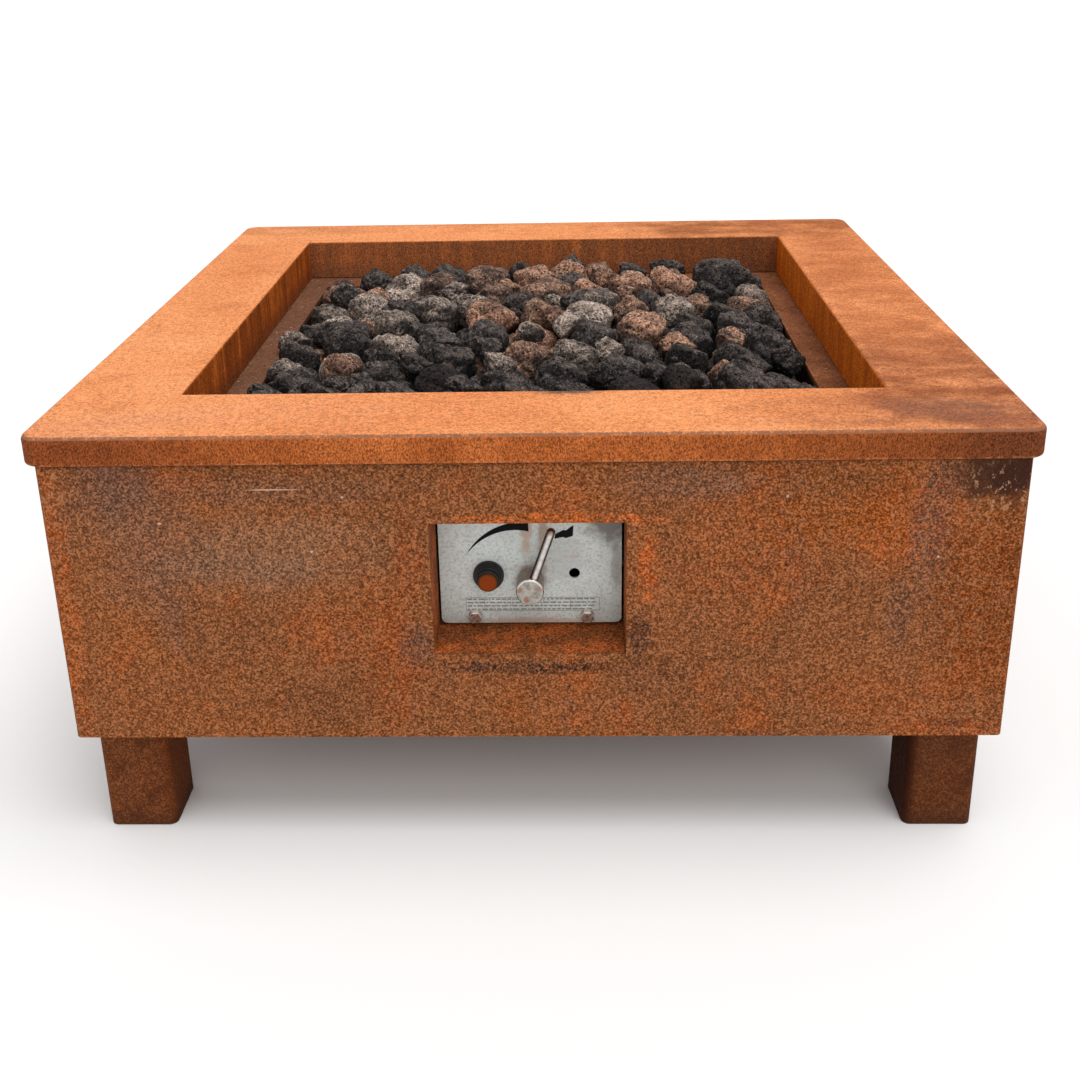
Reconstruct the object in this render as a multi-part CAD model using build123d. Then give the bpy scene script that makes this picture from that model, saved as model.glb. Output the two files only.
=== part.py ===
from build123d import *

import itertools
import math
import os
import random

import numpy as np

# Gas fire pit with a square body of weathering steel, in millimetres.
# Origin: centre of the footprint on the floor. +Z up, the control window faces -Y.

# ---- driving dimensions ----
RIM_SIZE = 808.0  # outside of the rim cover, square
RIM_TOP_Z = 380.0  # height of the whole object
RIM_BAND = 104.0  # width of the flat band round the opening
RIM_SKIRT = 25.0  # height of the folded outer skirt
WELL_DEPTH = 47.0  # height of the folded inner skirt
RIM_OVERHANG = 8.0  # rim beyond the body on each side
RIM_CORNER = 16.0  # plan radius of the rim's corners
RIM_FOLD = 4.5  # radius of the fold from the band to the skirt
RIM_HEM = 2.5  # rounding of the skirt's lower edge
BODY_CORNER = 5.0  # radius of the body's upright edges
SHEET = 3.0  # weathering steel sheet
LEG_HEIGHT = 100.0
LEG_SIDE = 60.0
LEG_INSET = 13.0  # leg face behind the body face
LEG_WALL = 3.0

WINDOW_X = -2.0  # centre of the control window
WINDOW_WIDTH = 160.0
WINDOW_LOW_Z = 180.0
WINDOW_HIGH_Z = 300.0
PLATE_SETBACK = 50.0  # control plate behind the front face
PLATE_WIDTH = 156.0
PLATE_THICKNESS = 2.0
PLATE_BOLT_SPREAD = 97.0
PLATE_BOLT_Z = 190.0
SIGHT_HOLE = (35.7, 230.0)

LEVER_Z = 225.0
LEVER_REACH = 60.0  # tip of the rod from the lever's axis
LEVER_LEAN = 19.0  # degrees to the right of upright, at rest
LEVER_PUSH = 3.0  # travel of the lever when it is pushed in
IGNITER_X = -38.0
IGNITER_Z = 229.0
IGNITER_TRAVEL = 6.0

INLET_AT = (120.0, -315.0)  # axis of the gas inlet fitting, x and y
VALVE_BACK = -285.0
CHAMBER = (-329.5, -300.0)  # spring chamber of the valve, along Y
VALVE_OUTLET_Y = -298.0
PIPE_RADIUS = 4.0
FEED_Z = 118.0  # height of the feed pipe's long run

PAN_OPENING = (544.0, 510.0)  # stone tray, X by Y
PAN_DEPTH = 60.0
PAN_FLANGE = 770.0
PAN_SHEET = 2.0
RAIL_LEG = 30.0
GRATE_TOP = 303.0
GRATE_BAR = 6.0
GRATE_PITCH = 22.0
BURNER_LENGTH = 440.0
BURNER_Z = 286.0
PROBE_Y = -20.0  # flame probes stand this far in front of the burner's axis
PROBE_X = 40.0
PROBE_LOW_Z = 254.0
MIXER_LOW_Z = 190.0
HOLDER_LOW_Z = 172.0

STONE_SEED = 11
STONE_GAP = 0.7  # clear space kept between two stones

# ---- sizes that follow ----
RIM_HALF = RIM_SIZE / 2
OPENING_HALF = RIM_HALF - RIM_BAND
BODY_HALF = RIM_HALF - RIM_OVERHANG
BODY_INNER = BODY_HALF - SHEET
BODY_TOP_Z = RIM_TOP_Z - SHEET
LEDGE_Z = RIM_TOP_Z - WELL_DEPTH - 1.0  # top of the pan's flange, 1 mm under the inner skirt
PAN_FLOOR_Z = LEDGE_Z - PAN_DEPTH
BASE_TOP_Z = LEG_HEIGHT + SHEET
LEG_CENTRE = BODY_HALF - LEG_INSET - LEG_SIDE / 2
PLATE_Y = -BODY_HALF + PLATE_SETBACK  # front face of the control plate
PLATE_BACK = PLATE_Y + PLATE_THICKNESS
HUB_FRONT = PLATE_Y - 26.0
HUB_BACK = PLATE_Y - 1.5 - LEVER_PUSH
CORNERS = list(itertools.product((-1, 1), (-1, 1)))


# ---- shape helpers ----
def box(low, high):
    centre = [(a + b) / 2 for a, b in zip(low, high)]
    return Pos(*centre) * Box(*[b - a for a, b in zip(low, high)])


def along_x(radius, x0, x1, y, z):
    return Pos((x0 + x1) / 2, y, z) * Rot(0, 90, 0) * Cylinder(radius, x1 - x0)


def along_y(radius, y0, y1, x, z):
    return Pos(x, (y0 + y1) / 2, z) * Rot(90, 0, 0) * Cylinder(radius, y1 - y0)


def along_z(radius, z0, z1, x, y):
    return Pos(x, y, (z0 + z1) / 2) * Cylinder(radius, z1 - z0)


def hexagon(across_flats, height):
    sketch = RegularPolygon(across_flats / 2, 6, major_radius=False)
    prism = extrude(sketch, height / 2, both=True)
    return chamfer(prism.edges().group_by(Axis.Z)[-1], across_flats * 0.05)


def hex_along_y(across_flats, y0, y1, x, z):
    """Hexagon whose chamfered end is at y0, the front."""
    return Pos(x, (y0 + y1) / 2, z) * Rot(90, 0, 0) * hexagon(across_flats, y1 - y0)


def hex_along_z(across_flats, z0, z1, x, y):
    return Pos(x, y, (z0 + z1) / 2) * hexagon(across_flats, z1 - z0)


def square_tube(side, radius, z0, z1, x, y):
    sketch = RectangleRounded(side, side, radius)
    return Pos(x, y, z0) * extrude(sketch, z1 - z0)


def pipe(points, radii, outer, inner=0.0):
    """Tube along straight runs joined by tangent arcs."""
    path = FilletPolyline(*points, radius=radii)
    section = Circle(outer) - Circle(inner) if inner else Circle(outer)
    return sweep(Plane(path @ 0, z_dir=path % 0) * section, path=path)


def coil(radius, wire, length, turns):
    """Compression spring standing on z = 0; its wire centre runs from end to end."""
    path = Helix((length - 2 * wire) / turns, length - 2 * wire, radius)
    section = Plane(path @ 0, z_dir=path % 0) * Circle(wire)
    return Pos(0, 0, wire) * sweep(section, path=path, is_frenet=True)


def group(shapes):
    solids = [solid for shape in shapes for solid in shape.solids()]
    return Compound(children=solids)


# ---- rim cover and body shell ----
def quadrant(side):
    """Wedge of the square footprint that belongs to one side."""
    reach = RIM_SIZE
    triangle = make_face(Polyline((0, 0), (-reach, -reach), (reach, -reach), close=True))
    turn = {"front": 0, "right": 90, "rear": 180, "left": 270}[side]
    return Rot(0, 0, turn) * extrude(triangle, RIM_SIZE)


def rim_ring():
    skirt_z = RIM_TOP_Z - RIM_SKIRT
    inner_z = RIM_TOP_Z - WELL_DEPTH
    under = RIM_TOP_Z - SHEET
    cavity = RIM_SIZE - 2 * SHEET
    opening = 2 * OPENING_HALF
    cover = square_tube(RIM_SIZE, RIM_CORNER, skirt_z, RIM_TOP_Z, 0, 0)
    cover = fillet(cover.edges().group_by(Axis.Z)[-1], RIM_FOLD)
    cover = fillet(cover.edges().group_by(Axis.Z)[0], RIM_HEM)
    cover -= square_tube(cavity, RIM_CORNER - SHEET, skirt_z - 1, under, 0, 0)
    well = opening / 2 + SHEET
    cover += box((-well, -well, inner_z), (well, well, RIM_TOP_Z))
    half = opening / 2
    cover -= box((-half, -half, inner_z - 1), (half, half, RIM_TOP_Z + 1))
    top = cover.faces().sort_by(Axis.Z)[-1]
    return fillet(top.inner_wires()[0].edges(), 3.0)


def body_ring():
    outer = square_tube(2 * BODY_HALF, BODY_CORNER, LEG_HEIGHT, BODY_TOP_Z, 0, 0)
    half = BODY_INNER
    return outer - box((-half, -half, LEG_HEIGHT - 1), (half, half, BODY_TOP_Z + 1))


def control_window():
    left = WINDOW_X - WINDOW_WIDTH / 2
    return box((left, -RIM_HALF, WINDOW_LOW_Z), (left + WINDOW_WIDTH, -BODY_INNER + 1, WINDOW_HIGH_Z))


def shell_nodes():
    nodes = {}
    rim, body = rim_ring(), body_ring()
    for side in ("front", "rear", "left", "right"):
        nodes[f"rim_{side}"] = rim & quadrant(side)
        nodes[f"{side}_panel"] = body & quadrant(side)
    nodes["front_panel"] -= control_window()
    return nodes


# ---- base plate and legs ----
def leg_bolt_places():
    """Two bolts for each leg, on the diagonal of the body."""
    for sx, sy in CORNERS:
        for step in (-13.0, 13.0):
            yield sx * (LEG_CENTRE + step), sy * (LEG_CENTRE + step)


def base_plate():
    half = BODY_INNER
    plate = box((-half, -half, LEG_HEIGHT), (half, half, BASE_TOP_Z))
    for x, y in itertools.product(range(-250, 251, 100), (-150, 150)):
        plate -= Pos(x, y, LEG_HEIGHT) * extrude(SlotOverall(70, 12), SHEET)
    for x, y in leg_bolt_places():
        plate -= along_z(5.5, LEG_HEIGHT - 1, BASE_TOP_Z + 1, x, y)
    return plate - along_z(8.2, LEG_HEIGHT - 1, BASE_TOP_Z + 1, *INLET_AT)


def leg_nodes():
    foot, top = 3.0, 4.0
    nodes = {}
    feet, tops, bolts = [], [], []
    names = {(-1, -1): "front_left", (1, -1): "front_right", (-1, 1): "rear_left", (1, 1): "rear_right"}
    for sx, sy in CORNERS:
        x, y = sx * LEG_CENTRE, sy * LEG_CENTRE
        tube = square_tube(LEG_SIDE, 7, foot, LEG_HEIGHT - top, x, y)
        bore = square_tube(LEG_SIDE - 2 * LEG_WALL, 4, foot, LEG_HEIGHT - top, x, y)
        nodes["leg_" + names[sx, sy]] = tube - bore
        feet.append(square_tube(LEG_SIDE, 7, 0, foot, x, y))
        tops.append(square_tube(LEG_SIDE, 7, LEG_HEIGHT - top, LEG_HEIGHT, x, y))
    for x, y in leg_bolt_places():
        shank = along_z(5, 92, BASE_TOP_Z, x, y)
        flange = along_z(11, BASE_TOP_Z, BASE_TOP_Z + 2, x, y)
        bolts.append(shank + flange + hex_along_z(16, BASE_TOP_Z + 2, BASE_TOP_Z + 9, x, y))
        nearest = min(range(4), key=lambda i: abs(x - tops[i].center().X) + abs(y - tops[i].center().Y))
        tops[nearest] -= along_z(5.02, LEG_HEIGHT - top - 1, LEG_HEIGHT + 1, x, y)
    nodes["leg_foot_plates"] = group(feet)
    nodes["leg_top_plates"] = group(tops)
    nodes["leg_bolts"] = group(bolts)
    return nodes


# ---- control recess, plate and igniter ----
def recess_nodes():
    left = WINDOW_X - WINDOW_WIDTH / 2
    right = left + WINDOW_WIDTH
    front, back = -BODY_INNER, PLATE_BACK + 6
    low, high = WINDOW_LOW_Z, WINDOW_HIGH_Z
    cheeks = [
        box((left - SHEET, front, low), (left, back, high)),
        box((right, front, low), (right + SHEET, back, high)),
    ]
    return {
        "recess_cheeks": group(cheeks),
        "recess_shelf": box((left - SHEET, front, low - SHEET), (right + SHEET, -312, low)),
        "recess_roof": box((left - SHEET, front, high), (right + SHEET, back, high + SHEET)),
    }


def plate_bolt_places():
    return [(WINDOW_X + s * PLATE_BOLT_SPREAD / 2, PLATE_BOLT_Z) for s in (-1, 1)]


def control_plate_nodes():
    low, high = WINDOW_LOW_Z + 2.5, WINDOW_HIGH_Z - 3
    sketch = RectangleRounded(PLATE_WIDTH, high - low, 5.5)
    stand = Pos(WINDOW_X, PLATE_BACK, (low + high) / 2) * Rot(90, 0, 0)
    plate = stand * extrude(sketch, PLATE_THICKNESS)
    holes = [(WINDOW_X, LEVER_Z, 6.1), (IGNITER_X, IGNITER_Z, 10.9), (*SIGHT_HOLE, 4.7)]
    for x, z, radius in holes:
        plate -= along_y(radius, PLATE_Y - 1, PLATE_BACK + 1, x, z)
    upright_back = PLATE_BACK + 2.5
    half = 62.0
    left, right = WINDOW_X - half, WINDOW_X + half
    bracket = box((left, PLATE_BACK, WINDOW_LOW_Z), (right, upright_back, 205))
    bracket += box((left, PLATE_BACK, WINDOW_LOW_Z), (right, -316, low))
    bolts, nuts = [], []
    for x, z in plate_bolt_places():
        plate -= along_y(3.2, PLATE_Y - 1, PLATE_BACK + 1, x, z)
        bracket -= along_y(3.2, PLATE_BACK - 1, upright_back + 1, x, z)
        head = hex_along_y(10, PLATE_Y - 6.5, PLATE_Y - 1.3, x, z)
        flange = along_y(5.9, PLATE_Y - 1.3, PLATE_Y, x, z)
        bolts.append(head + flange + along_y(3, PLATE_Y, upright_back + 8, x, z))
        nut = hex_along_y(10, upright_back, upright_back + 5, x, z)
        nuts.append(nut - along_y(3.02, upright_back - 1, upright_back + 6, x, z))
    return {
        "control_plate": plate,
        "control_bracket": bracket,
        "plate_bolts": group(bolts),
        "plate_nuts": group(nuts),
    }


def igniter_nodes():
    x, z = IGNITER_X, IGNITER_Z
    mouth, floor, back = PLATE_Y - 3, -300.0, -296.0
    collar_front = mouth - 6.0
    cap_front = collar_front - 1.0 - IGNITER_TRAVEL
    bore = along_y(9.4, mouth - 1, floor, x, z)
    housing = along_y(10.7, mouth, back, x, z) + along_y(13, PLATE_BACK + 6, -306, x, z)
    housing += along_y(3, back, back + 6, x, z)
    collar = along_y(13.25, mouth, PLATE_Y, x, z)
    for step, radius in enumerate((12.4, 11.6, 10.9)):
        collar += along_y(radius, collar_front + 4 - 2 * step, mouth - 2 * step, x, z)
    collar = chamfer(collar.edges().filter_by(GeomType.CIRCLE).group_by(Axis.Y)[0], 0.5)
    collar -= along_y(9.4, collar_front - 1, mouth, x, z)
    nut = hex_along_y(27, PLATE_BACK, PLATE_BACK + 5, x, z)
    thread = along_y(10.8, mouth, PLATE_BACK + 6, x, z)
    sleeve_front = cap_front + 1.5
    cap = along_y(8.5, cap_front, sleeve_front, x, z)
    cap = fillet(cap.edges().group_by(Axis.Y)[0], 0.9)
    spring_length = 30.0
    sleeve = along_y(9.15, sleeve_front, floor - spring_length, x, z)
    sleeve = chamfer(sleeve.edges().group_by(Axis.Y)[0], 0.5)
    spring = Pos(x, floor, z) * Rot(90, 0, 0) * coil(6, 0.6, spring_length, 8)
    return {
        "igniter_housing": housing - bore,
        "igniter_collar": collar - thread,
        "igniter_nut": nut - thread,
        "igniter_plunger": sleeve,
        "igniter_cap": cap,
        "igniter_spring": spring,
    }


# ---- gas valve and its lever ----
def radial_rod(radius, start, end, angle, y):
    """Rod that points away from the lever's axis, at an angle to the right of upright."""
    upright = Pos(0, 0, (start + end) / 2) * Cylinder(radius, end - start)
    return Pos(WINDOW_X, y, LEVER_Z) * Rot(0, angle, 0) * upright


def valve_nodes():
    x, z = WINDOW_X, LEVER_Z
    inlet_y = INLET_AT[1]
    body = along_y(15, PLATE_BACK, VALVE_BACK, x, z) + along_y(6, PLATE_Y - 5, PLATE_BACK, x, z)
    body += along_x(8, x + 10, x + 24, inlet_y, z) + along_z(8, z - 23, z - 10, x, VALVE_OUTLET_Y)
    body -= along_y(4.05, PLATE_Y - 6, CHAMBER[0] + 1, x, z)
    body -= along_y(9, *CHAMBER, x, z)
    body -= along_x(3, x, x + 25, inlet_y, z)
    body -= along_z(3, z - 24, z, x, -304)
    nut = hex_along_y(14, PLATE_Y - 4, PLATE_Y, x, z) - along_y(6.03, PLATE_Y - 5, PLATE_Y + 1, x, z)
    magnet = along_y(9, VALVE_BACK, VALVE_BACK + 16, x, z)
    magnet += Pos(x, VALVE_BACK + 19.5, z) * Rot(-90, 0, 0) * hexagon(12, 7)
    pin_head = along_y(7, CHAMBER[0], CHAMBER[0] + 3.5, x, z)
    pin = pin_head + along_y(2.5, CHAMBER[0] + 3.5, CHAMBER[1] - 4, x, z)
    room = CHAMBER[1] - CHAMBER[0] - 3.5
    spring = Pos(x, CHAMBER[1], z) * Rot(90, 0, 0) * coil(5, 0.6, room, 7)
    return {
        "valve_body": body,
        "valve_nut": nut,
        "magnet_unit": magnet,
        "valve_push_pin": pin,
        "valve_spring": spring,
    }


def lever_nodes():
    x, z = WINDOW_X, LEVER_Z
    rod_y, screw_y = PLATE_Y - 20.5, HUB_BACK - 7.0
    spindle_front = rod_y + 5.0
    hub = along_y(11.75, HUB_FRONT, HUB_BACK, x, z)
    hub = chamfer(hub.edges().group_by(Axis.Y)[0], 0.7)
    hub -= along_y(4.02, spindle_front - 0.3, HUB_BACK + 1, x, z)
    hub -= along_y(9, HUB_BACK - 5, HUB_BACK + 1, x, z)
    hub -= radial_rod(3.77, 0.5, 14, LEVER_LEAN, rod_y)
    hub -= radial_rod(2.02, 4, 14, LEVER_LEAN + 180, screw_y)
    rod = radial_rod(3.75, 1, LEVER_REACH - 3.75, LEVER_LEAN, rod_y)
    tip = Pos(0, 0, LEVER_REACH - 3.75) * Sphere(3.75)
    rod += Pos(x, rod_y, z) * Rot(0, LEVER_LEAN, 0) * tip
    return {
        "lever_hub": hub,
        "lever_rod": rod,
        "lever_grub_screw": radial_rod(2, 4.1, 10.6, LEVER_LEAN + 180, screw_y),
        "valve_spindle": along_y(4, spindle_front, CHAMBER[0], x, z),
    }


# ---- stone tray, grate and burner ----
def burner_pan():
    x, y = PAN_OPENING[0] / 2, PAN_OPENING[1] / 2
    wall = PAN_SHEET
    flange = PAN_FLANGE / 2
    pan = box((-flange, -flange, LEDGE_Z - wall), (flange, flange, LEDGE_Z))
    pan += box((-x - wall, -y - wall, PAN_FLOOR_Z - wall), (x + wall, y + wall, LEDGE_Z))
    pan -= box((-x, -y, PAN_FLOOR_Z), (x, y, LEDGE_Z + 1))
    holes = [(WINDOW_X, 0, 8.6), (IGNITER_X, PROBE_Y, 4.3), (PROBE_X, PROBE_Y, 3.3)]
    for hole_x, hole_y, radius in holes:
        pan -= along_z(radius, PAN_FLOOR_Z - 3, PAN_FLOOR_Z + 1, hole_x, hole_y)
    for sx, sy in CORNERS:
        drain = extrude(SlotOverall(40, 8), 4)
        pan -= Pos(sx * (x - 40), sy * (y - 25), PAN_FLOOR_Z - 3) * drain
    return pan


def pan_support_rails():
    top, thick = LEDGE_Z - PAN_SHEET, 3.0
    wall, half = BODY_INNER, 350.0
    upright = box((-half, -wall, top - 25), (half, -wall + thick, top))
    rail = upright + box((-half, -wall, top - thick), (half, -wall + RAIL_LEG, top))
    return group([Rot(0, 0, turn) * rail for turn in (0, 90, 180, 270)])


def grate_nodes():
    x, y = PAN_OPENING[0] / 2 - 2, PAN_OPENING[1] / 2 - 2
    flat, low = 3.0, GRATE_TOP - 20
    sides = []
    for s in (-1, 1):
        outer, inner = s * x, s * (x - flat)
        sides.append(box((min(outer, inner), -y, low), (max(outer, inner), y, GRATE_TOP)))
        outer, inner = s * y, s * (y - flat)
        span = x - flat
        sides.append(box((-span, min(outer, inner), low), (span, max(outer, inner), GRATE_TOP)))
    for sx, sy in CORNERS:
        sides.append(along_z(5, PAN_FLOOR_Z, low, sx * (x - 5), sy * (y - 5)))
    count = int((2 * x - GRATE_PITCH) // GRATE_PITCH)
    first = -(count - 1) / 2 * GRATE_PITCH
    reach = y - flat
    bars = [
        along_y(GRATE_BAR / 2, -reach, reach, first + i * GRATE_PITCH, GRATE_TOP - GRATE_BAR / 2)
        for i in range(count)
    ]
    return {"grate_frame": group(sides), "grate_bars": group(bars)}


def burner_nodes():
    half, x = BURNER_LENGTH / 2, WINDOW_X
    outer, inner, end_cap = 10.0, 8.5, 2.0
    bar = along_x(outer, -half, half, 0, BURNER_Z)
    bar -= along_x(inner, end_cap - half, half - end_cap, 0, BURNER_Z)
    ports = 20
    pitch = BURNER_LENGTH / (ports + 1)
    for i in range(ports):
        bar -= along_z(1.5, BURNER_Z, BURNER_Z + outer + 1, -half + (i + 1) * pitch, 0)
    mixer_outer, mixer_inner, air_z = 8.0, 6.8, MIXER_LOW_Z + 14
    bar -= along_z(mixer_inner, BURNER_Z - outer - 1, BURNER_Z, x, 0)
    mixer = along_z(mixer_outer, MIXER_LOW_Z, BURNER_Z, x, 0)
    mixer -= along_z(mixer_inner, MIXER_LOW_Z - 1, BURNER_Z + 1, x, 0)
    mixer -= along_x(outer, -half, half, 0, BURNER_Z)
    mixer -= along_x(3.5, x - 20, x + 20, 0, air_z) + along_y(3.5, -20, 20, x, air_z)
    seat_z = MIXER_LOW_Z - 8
    holder = hex_along_z(17, HOLDER_LOW_Z, MIXER_LOW_Z, x, 0)
    holder -= along_z(3, HOLDER_LOW_Z - 1, MIXER_LOW_Z, x, 0)
    holder -= along_z(4.5, seat_z, MIXER_LOW_Z + 1, x, 0)
    jet = along_z(4.48, seat_z, MIXER_LOW_Z, x, 0) + Pos(x, 0, MIXER_LOW_Z + 3) * Cone(4.4, 2, 6)
    jet -= along_z(0.6, seat_z - 1, MIXER_LOW_Z + 7, x, 0)
    supports = []
    for saddle_x in (-180, 180):
        block = box((saddle_x - 6, -16, PAN_FLOOR_Z), (saddle_x + 6, 16, BURNER_Z))
        supports.append(block - along_x(outer, saddle_x - 10, saddle_x + 10, 0, BURNER_Z))
    for tab_x, radius in ((IGNITER_X, 4.05), (PROBE_X, 3.05)):
        low, high = (tab_x - 10, PROBE_Y - 12, PAN_FLOOR_Z), (tab_x + 10, PROBE_Y + 8, PAN_FLOOR_Z + 2)
        hole = along_z(radius, PAN_FLOOR_Z - 1, PAN_FLOOR_Z + 3, tab_x, PROBE_Y)
        supports.append(box(low, high) - hole)
    return {
        "burner_bar": bar,
        "mixer_tube": mixer,
        "injector_holder": holder,
        "injector": jet,
        "burner_brackets": group(supports),
    }


# ---- probes, leads and gas pipes ----
def probe_nodes():
    insulator_high, probe_high, tip_high = 288.0, 284.0, 294.0
    wire = 1.0
    insulator = along_z(4, PROBE_LOW_Z, insulator_high, IGNITER_X, PROBE_Y)
    insulator -= along_z(wire + 0.02, PROBE_LOW_Z, insulator_high + 1, IGNITER_X, PROBE_Y)
    thermocouple = along_z(3, PROBE_LOW_Z, probe_high, PROBE_X, PROBE_Y)
    thermocouple += along_z(2.2, probe_high, tip_high, PROBE_X, PROBE_Y)
    capillary = [
        (WINDOW_X, VALVE_BACK + 23, LEVER_Z),
        (WINDOW_X, -180, LEVER_Z),
        (PROBE_X, -110, LEVER_Z),
        (PROBE_X, PROBE_Y, LEVER_Z),
        (PROBE_X, PROBE_Y, PROBE_LOW_Z),
    ]
    ignition = [
        (IGNITER_X, -290, IGNITER_Z),
        (IGNITER_X, PROBE_Y, IGNITER_Z),
        (IGNITER_X, PROBE_Y, PROBE_LOW_Z),
    ]
    return {
        "electrode_insulator": insulator,
        "electrode_wire": along_z(wire, PROBE_LOW_Z, tip_high, IGNITER_X, PROBE_Y),
        "thermocouple": thermocouple,
        "thermocouple_lead": pipe(capillary, [60, 60, 22], 1.0),
        "ignition_lead": pipe(ignition, [20], 2.5),
    }


def union_nut(across_flats, length, bore):
    return hexagon(across_flats, length) - Cylinder(bore, length + 2)


def gas_pipe_nodes():
    outlet_low = LEVER_Z - 23
    inlet_x, inlet_y = INLET_AT
    valve_port = WINDOW_X + 24
    thread_low, nose_low, fitting_top = 86.0, 68.0, 125.0
    feed = [
        (WINDOW_X, VALVE_OUTLET_Y, outlet_low),
        (WINDOW_X, VALVE_OUTLET_Y, FEED_Z),
        (WINDOW_X, 0, FEED_Z),
        (WINDOW_X, 0, HOLDER_LOW_Z),
    ]
    inlet = [
        (valve_port, inlet_y, LEVER_Z),
        (inlet_x, inlet_y, LEVER_Z),
        (inlet_x, inlet_y, fitting_top),
    ]
    fitting = hex_along_z(22, BASE_TOP_Z, BASE_TOP_Z + 12, *INLET_AT)
    fitting += along_z(8, thread_low, fitting_top, *INLET_AT)
    fitting += along_z(6.58, nose_low, thread_low, *INLET_AT)
    fitting -= along_z(3, nose_low - 1, fitting_top + 1, *INLET_AT)
    lock_nut = hex_along_z(24, LEG_HEIGHT - 8, LEG_HEIGHT, *INLET_AT)
    lock_nut -= along_z(8.03, LEG_HEIGHT - 9, LEG_HEIGHT + 1, *INLET_AT)
    nut_length, clear = 12.0, 0.03
    nut = union_nut(14, nut_length, PIPE_RADIUS + clear)
    reach = nut_length / 2
    unions = [
        Pos(WINDOW_X, VALVE_OUTLET_Y, outlet_low - reach) * nut,
        Pos(WINDOW_X, 0, HOLDER_LOW_Z - reach) * nut,
        Pos(valve_port + reach, inlet_y, LEVER_Z) * Rot(0, 90, 0) * nut,
        Pos(inlet_x, inlet_y, fitting_top + reach) * nut,
    ]
    clips = []
    for y in (-220, -80):
        block = box((WINDOW_X - 9, y - 6, BASE_TOP_Z), (WINDOW_X + 9, y + 6, FEED_Z + 7))
        clips.append(block - along_y(PIPE_RADIUS + clear, y - 10, y + 10, WINDOW_X, FEED_Z))
    return {
        "gas_feed_pipe": pipe(feed, [25, 22], PIPE_RADIUS, PIPE_RADIUS - 1),
        "gas_inlet_pipe": pipe(inlet, [30], PIPE_RADIUS, PIPE_RADIUS - 1),
        "gas_inlet_fitting": fitting,
        "pipe_nuts": group(unions + [lock_nut]),
        "pipe_clips": group(clips),
    }


# ---- lava stones ----
# Larger stones that are set by hand: centre x, y, radius, height above the heap, colour.
CHOSEN_STONES = [
    (218, 210, 37, 14, "black"),
    (2, 112, 38, 6, "brown"),
    (-52, 20, 27, 3, "brown"),
    (112, 8, 29, 2, "brown"),
    (100, 150, 30, 3, "brown"),
    (-188, 84, 26, 3, "grey"),
    (-160, 160, 28, 4, "grey"),
    (-112, 36, 24, 2, "grey"),
    (54, 14, 28, 3, "grey"),
    (146, 60, 27, 3, "grey"),
    (-236, -140, 33, -2, "black"),
    (-200, 222, 27, 2, "black"),
    (24, -142, 31, -1, "black"),
    (-150, -140, 33, -3, "black"),
    (-196, -40, 30, 2, "black"),
    (196, -90, 33, 0, "black"),
    (240, -150, 32, -4, "black"),
    (246, 60, 28, 0, "black"),
    (-250, -60, 24, 0, "black"),
]


def heap_height(x, y):
    """Height that the top stones reach, a low mound that is highest a little behind the middle."""
    across = math.cos(math.pi * x / (2.4 * PAN_OPENING[0] / 2))
    along = math.cos(math.pi * (y - 70) / (2.4 * 330))
    return 338 + 32 * across * along


def stone_colour(x, y, chance):
    """Black at the front and on the right, brown towards the middle of the back, grey between."""
    black = 0.40 + 0.50 * max(0, -(y + 40) / 160) + 0.4 * max(0, (x - 120) / 150)
    brown = 0.34 if abs(x - 30) < 150 and y > -80 else 0.14
    if chance < black:
        return "black"
    return "brown" if chance < black + brown else "grey"


def has_room(stone, others, closeness):
    """Whether a stone keeps its distance from others, as a share of their two radii."""
    x, y, z, radius = stone
    for ox, oy, oz, other_radius, _ in others:
        if math.dist((x, y, z), (ox, oy, oz)) < closeness * (radius + other_radius):
            return False
    return True


def scatter_stones(chance):
    """Centres and radii of two layers of stones, upper layer first."""
    half_x, half_y = PAN_OPENING[0] / 2, PAN_OPENING[1] / 2
    stones = []
    for x, y, radius, rise, colour in CHOSEN_STONES:
        stones.append((x, y, heap_height(x, y) + rise - radius * 0.85, radius, colour))
    layers = [("upper", (31, 27, 23, 19, 15), 0.80), ("lower", (26, 22, 18), 0.68)]
    for layer, radii, closeness in layers:
        for radius, _ in itertools.product(radii, range(900)):
            x = chance.uniform(-1, 1) * (half_x - radius * 0.95)
            y = chance.uniform(-1, 1) * (half_y - radius * 0.95)
            z = heap_height(x, y) - radius * 0.85 + chance.uniform(-9, 6)
            if layer == "lower":
                z = GRATE_TOP + radius * 0.6
            if has_room((x, y, z, radius), stones, closeness):
                stones.append((x, y, z, radius, stone_colour(x, y, chance.random())))
    return stones


def bounding_planes(stone):
    """Grate, rim and walls round one stone, as outward normals and distances from its centre.

    A stone above the ledge may lean out over it: its wall slopes outwards from the ledge's edge.
    """
    x, y, z, _, _ = stone
    clear, slope = 0.6, math.sqrt(0.5)
    planes = [((0, 0, -1), z - GRATE_TOP - 0.4), ((0, 0, 1), RIM_TOP_Z - 6 - z)]
    for sign, axis in itertools.product((-1, 1), (0, 1)):
        place = sign * (x, y)[axis]
        gap = PAN_OPENING[axis] / 2 - clear - place
        outward = [0.0, 0.0, 0.0]
        outward[axis] = sign
        if z < LEDGE_Z + 4:
            planes.append((outward, gap))
            continue
        planes.append((outward, OPENING_HALF - 3 - place))
        leaning = [slope * part for part in outward[:2]] + [-slope]
        planes.append((leaning, slope * (gap + z - LEDGE_Z - clear)))
    return [(np.array(normal, float), distance) for normal, distance in planes]


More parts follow.
